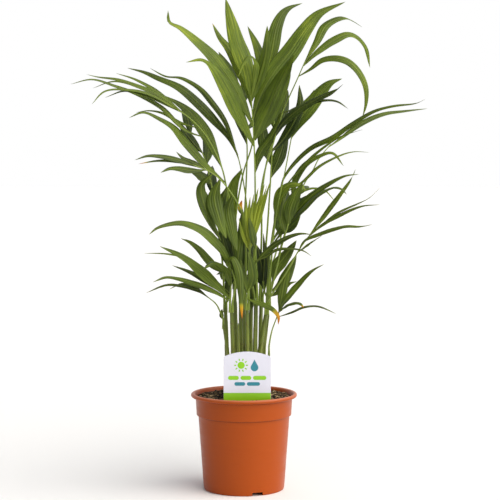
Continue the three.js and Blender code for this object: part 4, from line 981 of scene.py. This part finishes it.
      [20, 90, [1, 385], [14, 394], [26, 368]],
      [19, 110, [2, 390], [2, 396], [4, 372]]]],
  ['frond_rear_left_low', 'stem_rear_left', [1.8, -0.6],
    [[-26, 62, 322], [-20, 92, 344], [-14, 118, 350]], [1.5, 0.8], [
      [19, 60, [-22, 338], [-6, 354], [6, 340]],
      [19, 20, [-24, 330], [-34, 350], [-44, 346]],
      [19, 70, [-16, 348], [-28, 356], [-36, 338]],
      [18, 90, [-14, 350], [-14, 356], [-16, 334]]]],
]


def placed(x, z, y):
    """A drawn point set back by y: what lies deeper is spread so that it still looks as drawn."""
    spread = 1 + y / VIEW["distance"]
    return np.array((x * spread, y, VIEW["height"] + (z - VIEW["height"]) * spread))


def as_drawn(points):
    """The drawn (x, z) of points at any depth, the other way round."""
    spread = 1 + points[:, 1] / VIEW["distance"]
    return np.stack([points[:, 0] / spread, VIEW["height"] + (points[:, 2] - VIEW["height"]) / spread], 1)


def blade_width(along):
    """A blade's width as a share of its widest: narrow at the stalk, drawn out to a point at the tip."""
    start, widest = BLADE["widen"]
    opening = np.clip((along - start) / (widest - start), 0, 1)
    drawn_out = np.maximum(0, 1 - np.maximum(along, 0) ** BLADE["taper"]) ** BLADE["blunt"]
    return opening ** 2 * (3 - 2 * opening) * drawn_out


def leaflet_points(leaflet, spine, corners):
    """A leaflet's centre line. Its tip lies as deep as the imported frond's corner at the same drawn place."""
    depth, drawn = leaflet[1], leaflet[3:]
    base = spine[np.argmin(np.linalg.norm(as_drawn(spine) - leaflet[2], axis=1))]
    tip_off = np.linalg.norm(as_drawn(corners) - drawn[-1], axis=1)
    near = corners[tip_off < 0.4]
    if len(near):
        depth = near[np.argmin(abs(near[:, 1] - base[1] - depth))][1] - base[1]
    return [base] + [placed(x, z, base[1] + depth * ((i + 1) / len(drawn)) ** 1.2)
                     for i, (x, z) in enumerate(drawn)]


def make_leaflet(leaflet, points, tone, green_to, leaf_rng):
    """One blade as a thin closed skin: folded along its midrib, pleated along its veins, a little wavy at its
    edges. Gives points, faces and the vectors that the blade's material reads."""
    width = leaflet[0]
    halves = 5 if width < 12 else 8 if width < 24 else 12
    pleats = max(1, round(width / 9))
    line, ways, length = smooth_line(points, BLADE["steps"] + 1)
    share = np.linspace(0, 1, BLADE["steps"] + 1)
    roll = np.radians(BLADE["roll"] + BLADE["twist"] * share + leaf_rng.uniform(-7, 7) * np.sin(share * 4))
    facing = np.stack([0 * roll, -np.cos(roll), np.sin(roll)], 1)
    across = np.cross(ways, facing)
    across /= np.linalg.norm(across, axis=1, keepdims=True)
    up = np.cross(across, ways)
    half = np.maximum(0.5 * np.clip((1 - share) / 0.06, 0, 1), width / 2 * blade_width(share))
    wave, phase = leaf_rng.uniform(0.25, 0.8) * min(1.0, width / 20), leaf_rng.uniform(0, 6)
    offsets = np.linspace(1, -1, 2 * halves + 1)
    seed = leaf_rng.uniform(0, 40)
    points, vein, finish, numbers = [], [], [], []
    for ring in range(BLADE["steps"]):
        wide, here = half[ring], share[ring]
        numbers.append(list(range(len(points), len(points) + 4 * halves)))
        rim = (1 - here) * min(1, here * 6)
        for skin_side, row in ((1, offsets), (-1, offsets[-2:0:-1])):
            for u in row:
                height = -BLADE["fold"] * wide * math.sqrt(u * u + 0.012)
                pleat = BLADE["pleat"] * wide * math.cos(2 * math.pi * pleats * abs(u))
                height += pleat * (1 - u ** 4) * min(1, wide / 3)
                height += wave * rim * u * u * math.sin(BLADE["waves"] * here + phase + (0.9 if u > 0 else 0))
                thick = BLADE["thick"] / 2 * (1 - 0.75 * u ** 6)
                thick += RIB["thick"] * math.exp(-(u * wide / RIB["reach"]) ** 2) * (1 - here)
                height += skin_side * thick * (abs(u) < 1)
                points.append(line[ring] + across[ring] * u * wide + up[ring] * height)
                vein.append((u * wide, here * length, seed))
                dry = (here - green_to) / max(1 - green_to, 0.05) + 0.06 * leaf_rng.uniform(-1, 1)
                finish.append((tone, min(1, max(0, dry)), 0.0 if skin_side > 0 else 1.0))
    numbers = [numbers[0]] + numbers[1:] + [[len(points)] * (4 * halves)]
    points.append(line[-1])
    vein.append((0, length, seed))
    finish.append((tone, 1.0 if green_to < 1 else 0.0, 0.0))
    return points, skin(numbers, thin=True) + [numbers[0][::-1]], vein, finish


def make_stalk(points, radii, tone):
    """The stalk and the midrib that it becomes: round behind, with a shallow channel on the upper side."""
    count = max(24, int(sum(math.dist(a, b) for a, b in zip(points, points[1:])) / 4))
    line, ways, length = smooth_line(points, count)
    made, vein, finish, numbers = [], [], [], []
    for ring in range(count):
        share = ring / (count - 1)
        across = np.cross(ways[ring], (0.0, -0.94, 0.34))
        across /= np.linalg.norm(across)
        up = np.cross(across, ways[ring])
        radius = (radii[0] + (radii[1] - radii[0]) * share) * (1 + 0.35 * math.exp(-share * length / 14))
        numbers.append(list(range(len(made), len(made) + STALK_SIDES)))
        for side in range(STALK_SIDES):
            turn = 2 * math.pi * side / STALK_SIDES
            groove = 1 - 0.34 * math.exp(-((turn - math.pi / 2) / 0.42) ** 2)
            made.append(line[ring] + (across * math.cos(turn) + up * math.sin(turn)) * radius * groove)
            vein.append((radius * turn, share * length, 3.0))
            finish.append((tone, 0.0, 0.0))
    caps = [numbers[0][::-1], numbers[-1]]
    return made, skin(numbers) + caps, vein, finish


def blade_surface(tree):
    """Fresh leathery blade: green that varies by leaflet, with painted shade and light in its tone, streaked
    along its veins, a paler midrib, a greyer underside, a satin skin, and some light coming through it. Veins
    are drawn coarser than real ones, which would be too fine to show."""
    vein = add(tree, "Attribute", {}, attribute_name="vein").outputs["Vector"]
    marks = add(tree, "Attribute", {}, attribute_name="finish")
    finish = add(tree, "SeparateXYZ", {0: marks.outputs["Vector"]})
    tone_of, dry_of, under_of = (finish.outputs[axis] for axis in "XYZ")
    place = add(tree, "TexCoord", {}).outputs["Object"]
    long_marks = add(tree, "Mapping", {"Vector": vein, "Scale": (0.62, 0.012, 1.0)})
    streaks = add(tree, "TexNoise", {"Vector": long_marks.outputs[0], "Scale": 1.0, "Detail": 3.0,
                                     "Roughness": 0.65})
    vein_lines = add(tree, "Mapping", {"Vector": vein, "Scale": (1.7, 0.01, 1.0)})
    veins = add(tree, "TexNoise", {"Vector": vein_lines.outputs[0], "Scale": 1.0, "Detail": 1.0})
    cloud = add(tree, "TexNoise", {"Vector": place, "Scale": 16.0, "Detail": 3.0})
    lighter = add(tree, "MapRange", {0: streaks.outputs["Fac"], 1: 0.3, 2: 0.7, 3: -0.22, 4: 0.22})
    patchy = add(tree, "MapRange", {0: cloud.outputs["Fac"], 1: 0.3, 2: 0.7, 3: -0.18, 4: 0.18})
    streaked = add(tree, "Math", {0: tone_of, 1: lighter.outputs[0]}, operation="ADD")
    tone = add(tree, "Math", {0: streaked.outputs[0], 1: patchy.outputs[0]}, operation="ADD")
    green = add(tree, "ValToRGB", {"Fac": tone.outputs[0]})
    green.color_ramp.elements[0].color = linear("#22300e")
    green.color_ramp.elements[1].color = linear("#a6b436")
    for share, code in ((0.35, "#46561c"), (0.7, "#6b8024")):
        green.color_ramp.elements.new(share).color = linear(code)
    off_rib = add(tree, "Math", {0: add(tree, "SeparateXYZ", {0: vein}).outputs["X"]}, operation="ABSOLUTE")
    rib = add(tree, "MapRange", {0: off_rib.outputs[0], 1: 1.0, 2: 0.35, 3: 0.0, 4: 0.38})
    ribbed = add(tree, "Mix", {0: rib.outputs[0], 6: green.outputs["Color"], 7: linear("#8a9638")},
                 data_type="RGBA")
    grey = add(tree, "Math", {0: under_of, 1: 0.45}, operation="MULTIPLY")
    sided = add(tree, "Mix", {0: grey.outputs[0], 6: ribbed.outputs[2], 7: linear("#6c7850")},
                data_type="RGBA")
    dried = add(tree, "ValToRGB", {"Fac": dry_of})
    dried.color_ramp.elements[0].color = linear("#a3ac2c")
    dried.color_ramp.elements[1].color = linear("#8e4a22")
    for share, code in ((0.3, "#d3a71e"), (0.7, "#d07f18")):
        dried.color_ramp.elements.new(share).color = linear(code)
    drying = add(tree, "MapRange", {0: dry_of, 1: 0.0, 2: 0.14, 3: 0.0, 4: 1.0})
    colour = add(tree, "Mix", {0: drying.outputs[0], 6: sided.outputs[2], 7: dried.outputs["Color"]},
                 data_type="RGBA")
    rough = add(tree, "MapRange", {0: cloud.outputs["Fac"], 1: 0.3, 2: 0.7, 3: 0.34, 4: 0.5})
    bump = add(tree, "Bump", {"Height": veins.outputs["Fac"], "Strength": 0.3, "Distance": 0.0005})
    skin_shader = add(tree, "BsdfPrincipled", {"Base Color": colour.outputs[2], "Roughness": rough.outputs[0],
                                               "IOR": 1.45, "Specular IOR Level": 0.35,
                                               "Normal": bump.outputs[0]})
    glow = add(tree, "MixRGB", {0: 0.5, 1: colour.outputs[2], 2: linear("#a9c832")})
    through = add(tree, "BsdfTranslucent", {"Color": glow.outputs[0], "Normal": bump.outputs[0]})
    return add(tree, "MixShader", {0: 0.22, 1: skin_shader.outputs[0], 2: through.outputs[0]}).outputs[0]


def stalk_surface(tree):
    """Petiole skin: yellow-green, satin, finely streaked and sparsely speckled."""
    vein = add(tree, "Attribute", {}, attribute_name="vein").outputs["Vector"]
    long_marks = add(tree, "Mapping", {"Vector": vein, "Scale": (0.8, 0.02, 1.0)})
    streaks = add(tree, "TexNoise", {"Vector": long_marks.outputs[0], "Scale": 1.0, "Detail": 3.0})
    place = add(tree, "TexCoord", {}).outputs["Object"]
    specks = add(tree, "TexVoronoi", {"Vector": place, "Scale": 600.0})
    tone = add(tree, "Mix", {0: streaks.outputs["Fac"], 6: linear("#56701e"), 7: linear("#93a43c")},
               data_type="RGBA")
    dots = add(tree, "MapRange", {0: specks.outputs["Distance"], 1: 0.15, 2: 0.08, 3: 0.0, 4: 0.4})
    colour = add(tree, "Mix", {0: dots.outputs[0], 6: tone.outputs[2], 7: linear("#5a4c22")},
                 data_type="RGBA")
    bump = add(tree, "Bump", {"Height": streaks.outputs["Fac"], "Strength": 0.3, "Distance": 0.0004})
    return add(tree, "BsdfPrincipled", {"Base Color": colour.outputs[2], "Roughness": 0.4, "IOR": 1.45,
                                        "Normal": bump.outputs[0]}).outputs["BSDF"]


leaf_materials = [finish_material("fresh_palm_blade", blade_surface),
                  finish_material("palm_leaf_stalk", stalk_surface)]
stem_tops = {stem[0]: stem[2] for stem in STEMS}
for name, stem_name, offset, route, radii, leaflets in FRONDS:
    top = stem_tops[stem_name]
    start = np.array((top[0] + offset[0], top[1] + offset[1], top[2] + STEM_GAP))
    stalk_line = [start, start + (0, 0, 6)] + [placed(x, z, y) for x, y, z in route]
    spine = smooth_line(stalk_line, 201)[0]
    corners = np.array([v.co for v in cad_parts[name].data.vertices]) / MM
    leaf_rng = random.Random(name)
    # The frond's tone holds painted shade that darkens the fronds deep in the clump and at the back.
    tone = FROND_TONES_AND_SHADE.get(name, REAR_SHADED_TONE)
    sheath_start = start - (0, 0, SHEATHED)
    stalk_points, stalk_faces, vein, finish = make_stalk([sheath_start] + stalk_line, radii, tone)
    bodies, which = [(stalk_points, stalk_faces)], [1] * len(stalk_faces)
    for number, leaflet in enumerate(leaflets):
        points, faces, more_vein, more_finish = make_leaflet(
            leaflet, leaflet_points(leaflet, spine, corners),
            tone + LEAFLET_LIGHT_AND_SHADE.get((name, number), 0) + leaf_rng.uniform(-0.08, 0.08),
            DRYING.get((name, number), 1.2), leaf_rng)
        bodies.append((points, faces))
        vein, finish, which = vein + more_vein, finish + more_finish, which + [0] * len(faces)
    made = make_piece("palm_" + name, *joined(bodies), leaf_materials, which=which, vein=vein, finish=finish)
    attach(made, "root")
    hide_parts(name)
